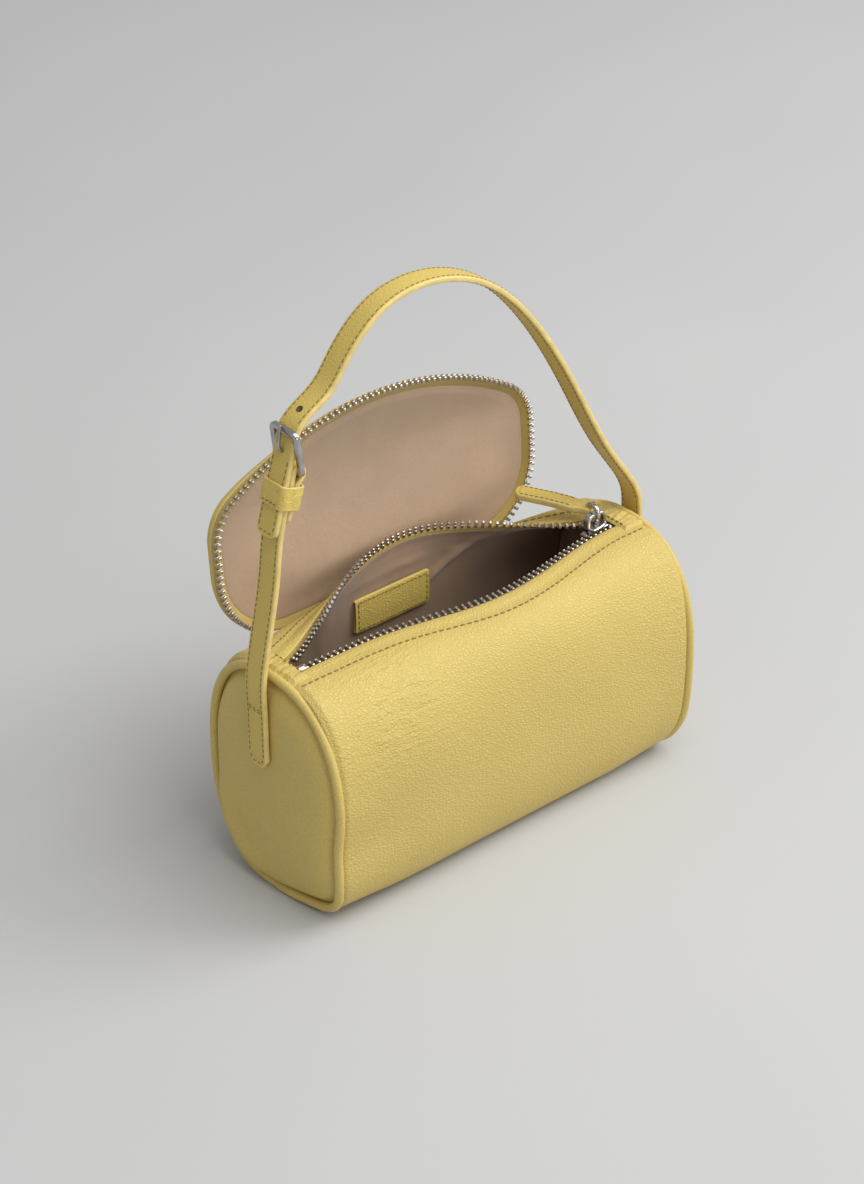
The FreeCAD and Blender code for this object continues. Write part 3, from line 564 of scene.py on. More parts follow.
def settled(point):
    """Soft leather: a shallow dent near the left end, lower front corners drawn in, slight unevenness."""
    x, y, z = point
    off_floor = eased(z, 1.0, 14.0)
    left = eased(-x, 45.0, 100.0)
    dent = 2.2 * left * eased(-y, 20.0, 41.0) * exp(-((z - 40.0) / 13.0) ** 2)
    rest = (1.0 - eased(abs(x), 78.0, 97.0)) * off_floor * (1.0 - eased(z, 96.0, 110.0))
    wave = wander(x / 42.0, y / 42.0 + 7.3, z / 42.0) * 0.9 * rest
    middle = np.array([0.0, y, z - 50.0])
    middle /= max(np.linalg.norm(middle), 1.0)
    tuck = eased(abs(x), 55.0, 100.0) * (1.0 - eased(z, 0.0, 26.0)) * eased(-y, 0.0, 34.0)
    return np.array([x - np.sign(x) * 3.4 * tuck, y + dent, z + 2.2 * tuck]) + middle * wave


STATIONS = np.concatenate([
    np.linspace(-BODY_REACH, -86.0, 18), np.linspace(-86.0, 80.0, 118)[1:], np.linspace(80.0, BODY_REACH, 24)[1:]])


def dive(x):
    """The leather turns in under the piping at each end."""
    return 1.5 * eased(abs(x), 96.2, 99.3)


def barrel_shell(name, inset, wall, start, count, reach, material, stands_for, slot, shape):
    points, loop = [], 0
    places = [-reach, *(x for x in STATIONS if abs(x) < reach - 0.2), reach]
    for x in places:
        outer = barrel_run(x, inset + dive(x), start, count, SOFTEN)
        inner = barrel_run(x, inset + dive(x) + wall, start, count, SOFTEN)
        section = [*outer]
        for side, a, b in ((1, outer[-1], inner[-1]), (-1, inner[0], outer[0])):
            away = row_frame(side, x)[1]
            middle, arm = (a + b) / 2, (a - b) / 2
            tip = -unit(away) * np.linalg.norm(arm)
            section += [middle + arm * cos(pi * k / 5) + tip * sin(pi * k / 5) for k in range(1, 5)]
            if side > 0:
                section += [*inner[::-1]]
        loop = len(section)
        points.extend(shape((x, y, z)) for y, z in section)
    faces = grid_faces(len(places), loop, closed_columns=True)
    for row in (0, len(places) - 1):
        for k in range(count - 1):
            other = 2 * count + 3 - k
            quad = [row * loop + i for i in (k, k + 1, other - 1, other)]
            faces.append(tuple(quad if row else quad[::-1]))
    return piece(name, points, faces, material, "barrel", stands_for, slot)


def rumpled(point):
    """The lining hangs in slack folds below the mouth."""
    x, y, z = settled(point)
    high = eased(z, 45.0, 92.0) * (1.0 - eased(z, 100.0, 106.0)) * (1.0 - eased(abs(x), 70.0, 94.0))
    fold = wander(x / 17.0 + z / 46.0, y / 30.0, z / 38.0 + 3.1)
    fine = wander(x / 7.5, y / 20.0 + 2.0, z / 16.0)
    pull = (1.5 * fold + 0.5 * fine + 0.9) * high
    crease = exp(-((z - 88.0 - (x - 14.0) * 0.55) / 2.2) ** 2)
    crease *= eased(x, 8.0, 18.0) * (1.0 - eased(x, 34.0, 52.0))
    flat = eased(x, -44.0, -26.0) * (1.0 - eased(x, 18.0, 32.0))
    flat *= eased(z, 64.0, 75.0) * (1.0 - eased(z, 99.0, 104.0))
    if y > 0:
        pull = pull * (1.0 - 0.8 * flat) + 2.0 * crease
    return np.array([x, y - np.sign(y) * pull, z])


barrel_shell("barrel_leather", 0.0, 1.7, LEATHER_EDGE, SKIN_COUNT, BODY_REACH, BODY_LEATHER,
             ("body_panel", "front_zip_facing", "rear_zip_facing"), "body_leather", settled)
barrel_shell("barrel_lining", 2.35, 0.6, 3.6, 300, 95.4, INNER_CLOTH, ("body_lining",), "lining_fabric", rumpled)


# Ends: piping, puffed panels and the linings behind them

def end_run(inset, count):
    """The outline of an end, anticlockwise from its top, as even (y, z) points."""
    rear, front = (flank(side, 0.0, HEIGHT - inset, WIDTH / 2 - inset, inset, 1.0) for side in (1, -1))
    base = [(y, inset) for y in np.linspace(FEET[1][1], -FEET[-1][1], 10)[1:-1]]
    return evenly(rear + base + front[::-1][:-1], count, closed=True)


END_SIDES = ((-1, "left"), (1, "right"))
END_COUNT, CLOTH_COUNT, PANEL_RINGS, CLOTH_RINGS = 180, 120, 34, 20
END_MIDDLE, PANEL_EDGE, PANEL_FOOT, PANEL_PUFF = 55.0, 2.3, 98.2, 6.3
CLOTH_X, CLOTH_MIDDLE_X, BOARD_FACES = 95.6, 95.4, (96.3, 97.1)
for sign, name in END_SIDES:
    path = np.array([settled((sign * RING_X, y, z)) for y, z in end_run(RING_RADIUS, END_COUNT)])
    points, faces = tube(path, RING_RADIUS, 16, closed=True, start_normal=X_WAY)
    points = [np.array([p[0], p[1], max(p[2], 0.0)]) for p in points]
    piece(name + "_piping_roll", points, faces, PANEL_LEATHER, "barrel", (name + "_piping",), "body_leather")

    points, outline = [], end_run(PANEL_EDGE, END_COUNT)
    for ring in range(PANEL_RINGS):
        share = 1.0 - ring / PANEL_RINGS
        rise = PANEL_FOOT + PANEL_PUFF * (1.0 - share ** 8.0) - 1.5 * exp(-((share - 0.952) / 0.026) ** 2)
        for y, z in outline:
            sag = eased(y - z, -30.0, 25.0) * eased(52.0 - z, 0.0, 30.0) * exp(-((share - 0.9) / 0.13) ** 2)
            wide, tall = y * share * (1 + 0.02 * sag), END_MIDDLE + (z - END_MIDDLE) * share * (1 + 0.02 * sag)
            ripple = 0.35 * wander(wide / 24.0, tall / 24.0, sign * 5.0) * (1 - share ** 6)
            base = settled((sign * RING_X, wide, tall))
            points.append((base[0] + sign * (rise - RING_X + ripple + 3.0 * sag), base[1], max(base[2], 0.3)))
    points.append((sign * (PANEL_FOOT + PANEL_PUFF), 0.0, END_MIDDLE))
    faces = domed_faces(PANEL_RINGS, END_COUNT)
    rim = len(points)
    points += [settled((sign * 97.0, y, z)) for y, z in end_run(2.6, END_COUNT)]
    faces += [(k, rim + k, rim + (k + 1) % END_COUNT, (k + 1) % END_COUNT) for k in range(END_COUNT)]
    faces = facing(faces, sign < 0)
    piece(name + "_end_leather", points, faces, PANEL_LEATHER, "barrel", (name + "_end_panel",), "body_leather")

    points, outline = [], end_run(3.6, CLOTH_COUNT)
    for ring in range(CLOTH_RINGS):
        share = 1.0 - ring / CLOTH_RINGS
        for y, z in outline:
            slack = 0.9 * wander(y * share / 26.0, z / 26.0, sign * 2.0) * (1 - share ** 4)
            points.append(settled((sign * (CLOTH_X - abs(slack)), y * share, END_MIDDLE + (z - END_MIDDLE) * share)))
    points.append((sign * CLOTH_MIDDLE_X, 0.0, END_MIDDLE))
    faces = facing(domed_faces(CLOTH_RINGS, CLOTH_COUNT), sign > 0)
    piece(name + "_end_cloth", points, faces, INNER_CLOTH, "barrel", (name + "_end_lining",), "lining_fabric")

    points = [settled((sign * x, y, z)) for x in BOARD_FACES for y, z in end_run(5.2, CLOTH_COUNT)]
    faces = facing(capped_faces(len(BOARD_FACES), CLOTH_COUNT), sign < 0)
    piece(name + "_board_sheet", points, faces, BOARD_SHEET, "barrel", (name + "_end_board",), "stiffener_board",
          smooth=False)


# Main zip: tapes, teeth, stops, end tabs and stitching
# A zip tooth: a clamped foot towards the tape, a neck and a rounded head with a nib
TOOTH = joined([
    chamfer_box((0.0, 0.85, 0.0), (1.35, 1.9, 2.3), 0.3), chamfer_box((0.0, -0.45, 0.0), (1.0, 1.5, 1.6), 0.25),
    chamfer_box((0.0, -1.05, 0.0), (1.5, 1.0, 1.7), 0.35), chamfer_box((0.0, -1.1, 0.5), (0.7, 0.7, 1.3), 0.25)])
TOOTH_PITCH, TOOTH_DROP = 3.1, -1.8
STOP = joined([
    chamfer_box((0.0, 0.0, 0.0), (2.4, 3.3, 2.4), 0.5), chamfer_box((0.0, 0.2, 0.3), (1.4, 2.2, 2.6), 0.4)])


def set_along(shape, origin, ahead, away, out):
    turn = np.stack([ahead, away, out], axis=1)
    return [np.asarray(origin) + turn @ np.asarray(p) for p in shape[0]], shape[1]


def zip_metal(name, shapes, body, stands_for):
    piece(name, *joined(shapes), TOOTH_METAL, body, (stands_for,), "zip_metal", smooth=False)


def row_place(side, x, distance=0.0, height=0.0):
    point, away, out = row_frame(side, x)
    y, z = point + away * distance + out * height
    return np.array([x, y, z])


def row_axes(side, x):
    ahead = unit(row_place(side, x + 0.5) - row_place(side, x - 0.5))
    out = np.array([0.0, *row_frame(side, x)[2]])
    out = unit(out - ahead * np.dot(out, ahead))
    away = np.cross(out, ahead)
    level = abs(away[1]) > abs(away[2])
    if away[1] * side < 0 and level or away[2] > 0 and not level:
        away, ahead = -away, -ahead
    return ahead, away, out


TAPE_LOOP = ((1.5, -1.62), (3.0, -1.55), (5.0, -1.62), (7.0, -1.75),
             (7.0, -2.2), (5.0, -2.3), (3.0, -2.3), (1.5, -2.3))
TAPE_REACH, TAPE_COUNT = 95.4, 150
for side, name in ((-1, "front"), (1, "rear")):
    xs = np.linspace(-TAPE_REACH, TAPE_REACH, TAPE_COUNT)
    points = [row_place(side, x, d, h) for x in xs for d, h in TAPE_LOOP]
    faces = capped_faces(TAPE_COUNT, len(TAPE_LOOP))
    piece(name + "_tape_cloth", points, faces, TAPE_CLOTH, "barrel", (name + "_zip_tape",), "tape_fabric")
    dense = np.array([row_place(side, x) for x in np.linspace(-LEFT_REACH + 5.0, RIGHT_REACH - 1.0, 500)])
    spots = evenly(dense, int(travelled(dense)[-1] / TOOTH_PITCH))
    teeth = [set_along(TOOTH, row_place(side, x, 0.0, TOOTH_DROP), *row_axes(side, x)) for x in spots[:, 0]]
    zip_metal(name + "_teeth_row", teeth, "barrel", name + "_zip_teeth")

STOP_X = 86.4
zip_metal("box_stop_metal", [
    chamfer_box((-87.5, -2.9, 108.15), (5.0, 3.6, 3.0), 0.5), chamfer_box((-87.7, -2.9, 109.0), (3.6, 2.4, 2.0), 0.4),
    chamfer_box((-89.2, -1.3, 108.0), (1.4, 1.2, 2.2), 0.3)], "barrel", "zip_box_stop")
stops = [set_along(STOP, row_place(side, STOP_X, 0.0, TOOTH_DROP), *row_axes(side, STOP_X)) for side in (-1, 1)]
zip_metal("end_stops_metal", stops, "barrel", "zip_right_stops")


def skin_line(side, distance, xs):
    """Points of the barrel's leather at a distance from its folded edge, with the way outward."""
    line, ways = [], []
    for x in xs:
        run = barrel_run(x, dive(x), LEATHER_EDGE, SKIN_COUNT, SOFTEN)
        run = run if side < 0 else run[::-1]
        along = travelled(run)
        y, z = spot_on(run, along, distance)
        ya, za = spot_on(run, along, distance + 0.6)
        line.append(settled((x, y, z)))
        ways.append((0.0, side * (z - za), side * (ya - y)))
    return np.array(line), np.array(ways)


MOUTH_SEAM = 8.6
rows = []
for side in (-1, 1):
    line, ways = skin_line(side, MOUTH_SEAM, np.linspace(-97.0, 95.5, 250))
    rows.append(stitch_row(line, ways, *MOUTH_STITCH))
piece("mouth_stitches", *joined(rows), SEWING, "barrel", slot="body_leather")

TAB_OUT, TAB_HALF, TAB_ROWS, TAB_COLUMNS = 99.0, 12.4, 26, 44
for sign, name in END_SIDES:
    points, under = [], []
    tab_long = 9.4 if sign < 0 else 11.5
    for along in np.linspace(0.0, 1.0, TAB_ROWS):
        for across in np.linspace(-1.0, 1.0, TAB_COLUMNS):
            x, y = sign * (TAB_OUT - along * tab_long), across * TAB_HALF
            rim = min((1 - along) * tab_long, (1 - abs(across)) * TAB_HALF)
            crinkle = 0.8 * wander(x / 6.0, y / 2.0, sign * 3.0) * eased(rim, 0.0, 1.5)
            sink = 1.3 * (1 - eased(along * tab_long, 0.0, 2.6)) + 0.5 * abs(across) ** 3
            points.append((x, y, BODY_TOP + 0.2 + 1.25 * eased(rim, 0.0, 1.8) + crinkle - sink))
            under.append((x, y, BODY_TOP - 0.1 - sink))
    points += under
    count = TAB_ROWS * TAB_COLUMNS
    top = grid_faces(TAB_ROWS, TAB_COLUMNS)
    low = [tuple(i + count for i in f) for f in top]
    border = [*range(TAB_COLUMNS), *(k * TAB_COLUMNS + TAB_COLUMNS - 1 for k in range(1, TAB_ROWS)),
              *(count - TAB_COLUMNS + k for k in range(TAB_COLUMNS - 2, -1, -1)),
              *(k * TAB_COLUMNS for k in range(TAB_ROWS - 2, 0, -1))]
    ring = [(a, b, b + count, a + count) for a, b in zip(border, border[1:] + border[:1])]
    faces = facing(top, sign > 0) + facing(low, sign < 0) + facing(ring, sign < 0)
    piece(name + "_tab_leather", points, faces, BODY_LEATHER, "barrel", (name + "_zip_tab",), "body_leather")
    line = [(sign * (TAB_OUT + 1.4 - tab_long), y, BODY_TOP + 1.35) for y in np.linspace(-9.5, 9.5, 20)]
    piece(name + "_tab_stitches", *stitch_row(line, Z_WAY, *TAB_STITCH), SEWING, "barrel", slot="body_leather")

# Bare leather patch on the rear lining, sewn round its edge
low, high = (np.array(v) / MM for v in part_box("lining_patch"))
patch_half, patch_tall = (high[0] - low[0]) / 2, (high[2] - low[2]) / 2
patch_mid = (low + high) / 2
section, _ = rounded_section(patch_tall, 0.8, 0.5, 0.25, across=8)
ends = np.linspace(-1.0, 1.0, 40)
path = np.array([patch_mid + (s * patch_half, 0.0, 0.0) for s in ends])
shares = [min(1.0, 0.93 + 0.07 * eased(patch_half * (1 - abs(s)), 0.0, 1.4)) for s in ends]
points, faces = sweep(path, Z_WAY, -Y_WAY, section, width_share=shares)
points = [p - (0.0, 0.3 * abs(wander(p[0] / 5.0, 0.0, p[2] / 3.5)), 0.0) for p in np.array(points)]
piece("patch_leather", points, faces, STRAP_LEATHER, "barrel", ("lining_patch",), "body_leather")
u, v = patch_half - 1.6, patch_tall - 1.6
corners = [(-u, -v), (u, -v), (u, v), (-u, v), (-u, -v)]
edge_rows = []
for (a, b), (c, d) in zip(corners, corners[1:]):
    line = [patch_mid + (a + (c - a) * t, -0.95, b + (d - b) * t) for t in np.linspace(0, 1, 20)]
    edge_rows.append(stitch_row(line, -Y_WAY, *PATCH_STITCH))
piece("patch_stitches", *joined(edge_rows), SEWING, "barrel", slot="body_leather")


# Zip slider, its ring and the leather pull

SLIDER_X, BAR_Z = 80.5, 116.2


def plate(outline, low_z, high_z, cut):
    """A flat metal plate with eased edges."""
    rings = ((low_z, 0.9), (low_z + cut, 1.0), (high_z - cut, 1.0), (high_z, 0.88))
    points = [np.array([SLIDER_X + x * share, y * share, z]) for z, share in rings for x, y in outline]
    return points, capped_faces(len(rings), len(outline), -1)


shield = [(-5.4, 3.4), (-4.6, 4.4), (-2.0, 4.6), (1.5, 3.9), (4.0, 3.1), (5.4, 2.4)]
half_rim = smooth_run(shield, 16)
rim = evenly([*half_rim[::-1], *half_rim * (1, -1)], 44, closed=True)
top_plate, foot_plate = plate(rim, 110.1, 111.5, 0.35), plate(rim, 105.3, 106.5, 0.3)
neck = chamfer_box((SLIDER_X + 4.6, 0.0, 108.3), (1.6, 1.4, 4.4), 0.3)
flanges = [chamfer_box((SLIDER_X + 2.6, y, 110.1), (4.6, 0.8, 0.9), 0.25) for y in (-3.3, 3.3)]
bow = smooth_run([(-4.9, 111.0), (-4.75, 113.6), (-4.1, 115.6), (-2.4, 116.3), (0.0, 116.35), (2.4, 116.3),
                  (4.1, 115.6), (4.75, 113.6), (4.9, 111.0)], 40)
path = np.array([(SLIDER_X + x, 0.0, z) for x, z in bow])
section, _ = rounded_section(1.65, 0.7, 0.45, 0.1)
bridge = sweep(path, Y_WAY, np.cross(tangents(path), Y_WAY), section)
piece("slider_metal", *joined([top_plate, foot_plate, neck, *flanges, bridge]),
      BRIGHT_METAL, "slider", ("zip_slider",), "bright_metal", smooth=False)

PULL_LIFT, PULL_SKEW, PULL_LONG = radians(3.3), radians(27.0), 33.0


def at_rest(points):
    """The pull's points turned up about the bridge, to lie clear of the rear teeth."""
    turned = np.array(points)
    y, z = turned[:, 1].copy(), turned[:, 2] - BAR_Z
    turned[:, 1] = y * cos(PULL_LIFT) - z * sin(PULL_LIFT)
    turned[:, 2] = BAR_Z + y * sin(PULL_LIFT) + z * cos(PULL_LIFT)
    return turned


ring_y, ring_radius = 1.6, 3.7
loop = [(SLIDER_X, ring_y + ring_radius * cos(a), BAR_Z + ring_radius * sin(a))
        for a in np.linspace(0, 2 * pi, 48, endpoint=False)]
piece("ring_metal", *tube(at_rest(loop), 1.1, 14, closed=True, start_normal=X_WAY), BRIGHT_METAL, "pull",
      ("pull_ring",), "bright_metal")

pull_way = np.array([-sin(PULL_SKEW), cos(PULL_SKEW), 0.0])
pull_side = np.array([cos(PULL_SKEW), sin(PULL_SKEW), 0.0])
pull_from = np.array([SLIDER_X, ring_y + 3.6, BAR_Z])
reach = np.concatenate([np.linspace(-2.4, 8.0, 16), np.linspace(8.0, PULL_LONG - 4, 24)[1:],
                        np.linspace(PULL_LONG - 4, PULL_LONG, 14)[1:]])
pull_half = 4.5


def pull_at(d, aside=0.0, lift=0.0):
    """A place on the pull, which bends up a little along its length."""
    return pull_from + pull_way * d + pull_side * aside + (0, 0, 0.5 * sin(pi * eased(d, -2.4, PULL_LONG)) + lift)


def pull_share(d):
    neck = 0.62 + 0.38 * eased(d, 1.0, 8.0)
    tip = (1 - max(0.0, (d - PULL_LONG + 3.0) / 3.0) ** 2.6 * 0.5)
    return neck * tip * (0.9 + 0.1 * eased(d, -2.4, -1.2))


section, sides = rounded_section(pull_half, 1.5, 0.7, 0.25)
points, faces = sweep([pull_at(d) for d in reach], pull_side, Z_WAY, section,
                      width_share=[pull_share(d) for d in reach])
piece("pull_leather", at_rest(points), faces, [STRAP_LEATHER, EDGE_PAINT], "pull", ("pull_tab",), "body_leather",
      edge_marks(sides, faces))
rows = []
for face, lift in ((1, 1.62), (-1, 1.5)):
    for edge in (-1, 1):
        line = [pull_at(d, edge * (pull_half * pull_share(d) - 1.35), face * lift)
                for d in np.linspace(7.0, PULL_LONG - 2.0, 40)]
        rows.append(stitch_row(line, Z_WAY * face, *PULL_STITCH))
    line = [pull_from + pull_way * (PULL_LONG - 1.8) + pull_side * t + (0, 0, face * lift)
            for t in np.linspace(-2.3, 2.3, 10)]
    rows.append(stitch_row(line, Z_WAY * face, *PULL_TIP_STITCH))
points, faces = joined(rows)
piece("pull_stitches", at_rest(points), faces, SEWING, "pull", slot="body_leather")


# Lid: a shallow tray behind the mouth, in its own tilted frame (x, depth, height)

LID_TILT = radians(4.0)
LID_HALF, LID_LOW, LID_HIGH = 88.8, -26.0, 67.7
LID_TOP_R, LID_CROWN_R, LID_FOOT_R = 24.0, 145.0, 36.0
LID_Y, LID_Z = 48.5, 116.0


def lid_at(x, depth, height):
    """A place in the frame; behind the rim the lid's top sags a little in its middle."""
    height -= 0.5 * max(depth - 1.0, 0.0) * eased(height, 15.0, 60.0) * (1.0 - eased(abs(x), 45.0, 85.0))
    return np.array([x, LID_Y + depth * cos(LID_TILT) + height * sin(LID_TILT),
                     LID_Z + height * cos(LID_TILT) - depth * sin(LID_TILT)])


def lid_way(x, depth, height):
    return lid_at(x, depth, height) - lid_at(0.0, 0.0, 0.0)


def lid_run(inset, count):
    """The lid's outline from the middle of its foot, as even (x, height) points."""
    half, low, high = LID_HALF - inset, LID_LOW + inset, LID_HIGH - inset
    top, crown, foot = LID_TOP_R - inset, LID_CROWN_R - inset, LID_FOOT_R - inset
    bend_x = half - top
    bend_rise = sqrt((crown - top) ** 2 - bend_x ** 2)
    bend_z = high - crown + bend_rise
    lean = degrees(atan2(bend_rise, bend_x))
    run = [(0.0, low)]
    for cx, cz, radius, start, turned in (
            (half - foot, low + foot, foot, -90, 90), (bend_x, bend_z, top, 0, lean),
            (0.0, high - crown, crown, lean, 180 - 2 * lean), (-bend_x, bend_z, top, 180 - lean, lean),
            (foot - half, low + foot, foot, 180, 90)):
        run += arc(cx, cz, radius, start, turned, 30)
    return evenly(run, count, closed=True)


LID_COUNT, LID_RINGS, LID_MIDDLE = 260, 26, (12.0, 38.0)


def lid_band(loop_of, material, name, stands_for, slot, wobble=0.0):
    """A band that follows the lid's rim, from a closed loop of (inset, depth)."""
    loops = [lid_run(inset, LID_COUNT) for inset, depth in loop_of]
    points = []
    for k in range(LID_COUNT):
        for (inset, depth), run in zip(loop_of, loops):
            x, height = run[k]
            points.append(lid_at(x, depth + wobble * wander(x / 14.0, height / 14.0, 1.0), height))
    faces = grid_faces(LID_COUNT, len(loop_of), closed_rows=True, closed_columns=True)
    return piece(name, points, faces, material, "lid", stands_for, slot)


def loop_round(inner, outer, front, back, radius=0.7):
    """A rounded closed loop between two insets and two depths."""
    loop = []
    for ci, cd, start in ((inner - radius, back - radius, 0), (outer + radius, back - radius, 90),
                          (outer + radius, front + radius, 180), (inner - radius, front + radius, 270)):
        loop += arc(ci, cd, radius, start, 90, 3)
    return loop


lid_band(loop_round(1.8, 0.0, 3.3, 5.6), PANEL_LEATHER, "lid_wall_leather", ("lid_wall",), "body_leather", 0.15)
lid_tape_loop = [
    (1.1, 0.9), (0.5, 2.2), (0.5, 3.6), (2.2, 3.9), (5.4, 3.6), (5.4, 2.9), (3.4, 2.3), (2.3, 1.1), (1.7, 0.8)]
lid_band(lid_tape_loop, TAPE_CLOTH, "lid_tape_cloth", ("lid_zip_tape",), "tape_fabric")


def lid_sheet(profile, material, name, stands_for, slot, flip, dish=0.0, grain=0.0, roll=0.0):
    """A sheet that fills the lid, from a run of (inset, depth) at the rim to its middle."""
    rings = [[(x, depth, height) for x, height in lid_run(inset, LID_COUNT)] for inset, depth in profile]
    last, (mid_x, mid_z) = rings[-1], LID_MIDDLE
    for step in range(1, LID_RINGS):
        share = 1 - step / LID_RINGS
        rings.append([(mid_x + (x - mid_x) * share, depth, mid_z + (height - mid_z) * share)
                      for x, depth, height in last])
    points = []
    for index, ring in enumerate(rings):
        inward = max(0.0, (index - len(profile) + 1) / LID_RINGS)
        for x, depth, height in ring:
            bulge = dish * (1 - (1 - inward) ** 2)
            ripple = grain * wander(x / 30.0, height / 30.0, 4.0) * eased(inward, 0.0, 0.25)
            slump = roll * (1.0 - eased(height, -12.0, 36.0)) * eased(inward, 0.0, 0.3)
            points.append(lid_at(x, depth + bulge + ripple - slump, height))
    points.append(lid_at(mid_x, profile[-1][1] + dish, mid_z))
    faces = facing(domed_faces(len(rings), LID_COUNT), flip)
    return piece(name, points, faces, material, "lid", stands_for, slot)


lid_sheet([(2.6, 5.0), (2.6, 5.8), (3.0, 6.2), (3.8, 6.5), (5.5, 6.65)], PANEL_LEATHER,
          "lid_outer_leather", ("lid_panel",), "body_leather", False, 4.6, 0.25)
lid_sheet([(4.4, 3.6), (4.5, 3.0), (4.9, 2.75), (6.0, 2.75), (8.0, 2.85)],
          LID_CLOTH, "lid_inner_cloth", ("lid_lining",), "lid_fabric", True, 5.5, 0.4, 4.5)
lid_sheet([(4.6, 5.5), (5.0, 5.6), (8.0, 5.7)], BOARD_SHEET, "lid_board_sheet", ("lid_board",), "stiffener_board",
          True, 4.2)
path = np.array([lid_at(x, 6.4, height) for x, height in lid_run(2.2, LID_COUNT)])
piece("lid_piping_roll", *tube(path, 1.4, 12, closed=True, start_normal=Y_WAY), PANEL_LEATHER, "lid",
      ("lid_piping",), "body_leather")

rim = lid_run(1.1, 2000)
lengths = travelled(rim)
bare_end = LID_HALF - LID_FOOT_R + 18.0
first, last = bare_end, lengths[-1] - bare_end
teeth, lid_stops = [], []
count = int((last - first) / TOOTH_PITCH)
for k in range(-1, count + 1):
    place = first + (k + 0.5) * (last - first) / count
    x, height = spot_on(rim, lengths, place)
    xa, ha = spot_on(rim, lengths, place + 0.5)
    ahead = unit(lid_way(xa - x, 0.0, ha - height))
    away = lid_way(0.0, 1.0, 0.0)
    out = np.cross(ahead, away)
    shape = STOP if k in (-1, count) else TOOTH
    group = lid_stops if shape is STOP else teeth
    group.append(set_along(shape, lid_at(x, 0.0, height), ahead, away, out))
zip_metal("lid_teeth_row", teeth, "lid", "lid_zip_teeth")
zip_metal("lid_stops_metal", lid_stops, "lid", "lid_zip_stops")

# Leather hinge: one strip from the rear lip, over the fold line, to the lid
fold_route = [(44.95, 112.2), (45.1, 110.8), (45.8, 109.6), (47.0, 108.8), (48.8, 108.4), (50.2, 108.4),
              (51.3, 109.0)]
hinge_x, hinge_half = 3.0, 9.0
path = np.array([(hinge_x, y, z) for y, z in smooth_run(fold_route, 60)])
section, _ = rounded_section(hinge_half, 0.4, 0.3, 0.0, across=16)
hinge = piece("hinge_leather", *sweep(path, X_WAY, np.cross(X_WAY, tangents(path)), section), PANEL_LEATHER)
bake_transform(hinge)
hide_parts("lid_hinge_strip", "lid_hinge_anchor")


# Handle: long strap, buckle strap, buckle, prong and keeper

STRAP_X, STRAP_Y, SWING_Z, ARCH_RISE = 106.15, 3.0, 106.4, 154.0
STRAP_HALF, STRAP_THIN = 6.0, 1.2
BUCKLE_LEAN = radians(17.0)
BUCKLE_X, BUCKLE_Z = -89.304, 200.602
BUCKLE_REACH, TAIL, FOLD = 17.0, 28.0, 22.0
LAYER = 2.55
HEEL_OUT = -5.0
WRAP = 2.45


def buckle_spot(along, outward):
    return (BUCKLE_X + along * sin(BUCKLE_LEAN) - outward * cos(BUCKLE_LEAN),
            BUCKLE_Z + along * cos(BUCKLE_LEAN) + outward * sin(BUCKLE_LEAN))


ARCH = ((0.989, 0.072), (0.929, 0.15), (0.82, 0.257), (0.6265, 0.4974), (0.4051, 0.7461), (0.146, 0.9273),
        (-0.1017, 0.9942), (-0.3674, 0.9753), (-0.5643, 0.8565), (-0.6368, 0.7968))
SHORT_ARCH = ((-0.9845, 0.0727), (-0.949, 0.1883), (-0.917, 0.302))
SEWN_HEIGHTS = (66.4, 80.4, 94.4, SWING_Z)
long_route = [(STRAP_X, z) for z in SEWN_HEIGHTS]
long_route += [(x * STRAP_X, SWING_Z + z * ARCH_RISE) for x, z in ARCH]
long_route += [buckle_spot(share * BUCKLE_REACH, 0.0) for share in (1.0, 0.5, 0.0)]
long_route += [buckle_spot(-share * TAIL, 0.0) for share in (0.33, 0.66, 1.0)]
long_run = smooth_run(long_route, 420)
short_route = [(-STRAP_X, z) for z in SEWN_HEIGHTS]
short_route += [(x * STRAP_X, SWING_Z + z * ARCH_RISE) for x, z in SHORT_ARCH]
short_route += [buckle_spot(-share * TAIL, -LAYER) for share in (0.78, 0.4, 0.1)]
turned = [buckle_spot(WRAP * sin(pi * k / 8), HEEL_OUT + WRAP * cos(pi * k / 8)) for k in range(9)]
fold_far, fold_near = HEEL_OUT - WRAP, -2 * LAYER
back = [buckle_spot(-a * FOLD, fold_near + b * (fold_far - fold_near))
        for a, b in ((0.07, 0.97), (0.18, 0.45), (0.28, 0.08), (0.4, 0.0), (0.7, 0.0), (1.0, 0.0))]
short_run = smooth_run(short_route + turned + back, 300)


def tip_share(distance, reach, blunt, power):
    return 1 - (1 - min(distance / reach, 1.0)) ** power * (1 - blunt)


def bend_at_foot(thing):
    """Bakes the strap's placement into its mesh."""
    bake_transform(thing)


def strap(name, run, stands_for, foot_tip, far_tip, outward):
    """A padded strap along a run of (x, z) points: rounded section, sealed edges, shaped ends."""
    path = np.array([(x, STRAP_Y, z) for x, z in run])
    normal = np.cross(Y_WAY, tangents(path)) * outward
    steps = travelled(path)
    shares = [min(tip_share(s, *foot_tip), tip_share(steps[-1] - s, *far_tip)) for s in steps]
    section, sides = rounded_section(STRAP_HALF, STRAP_THIN, 0.75, 0.22)
    points, faces = sweep(path, Y_WAY, normal, section, width_share=shares)
    thing = piece(name, points, faces, [STRAP_LEATHER, EDGE_PAINT], marks=edge_marks(sides, faces))
    bend_at_foot(thing)
    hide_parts(*stands_for)
    return path, normal, shares, steps


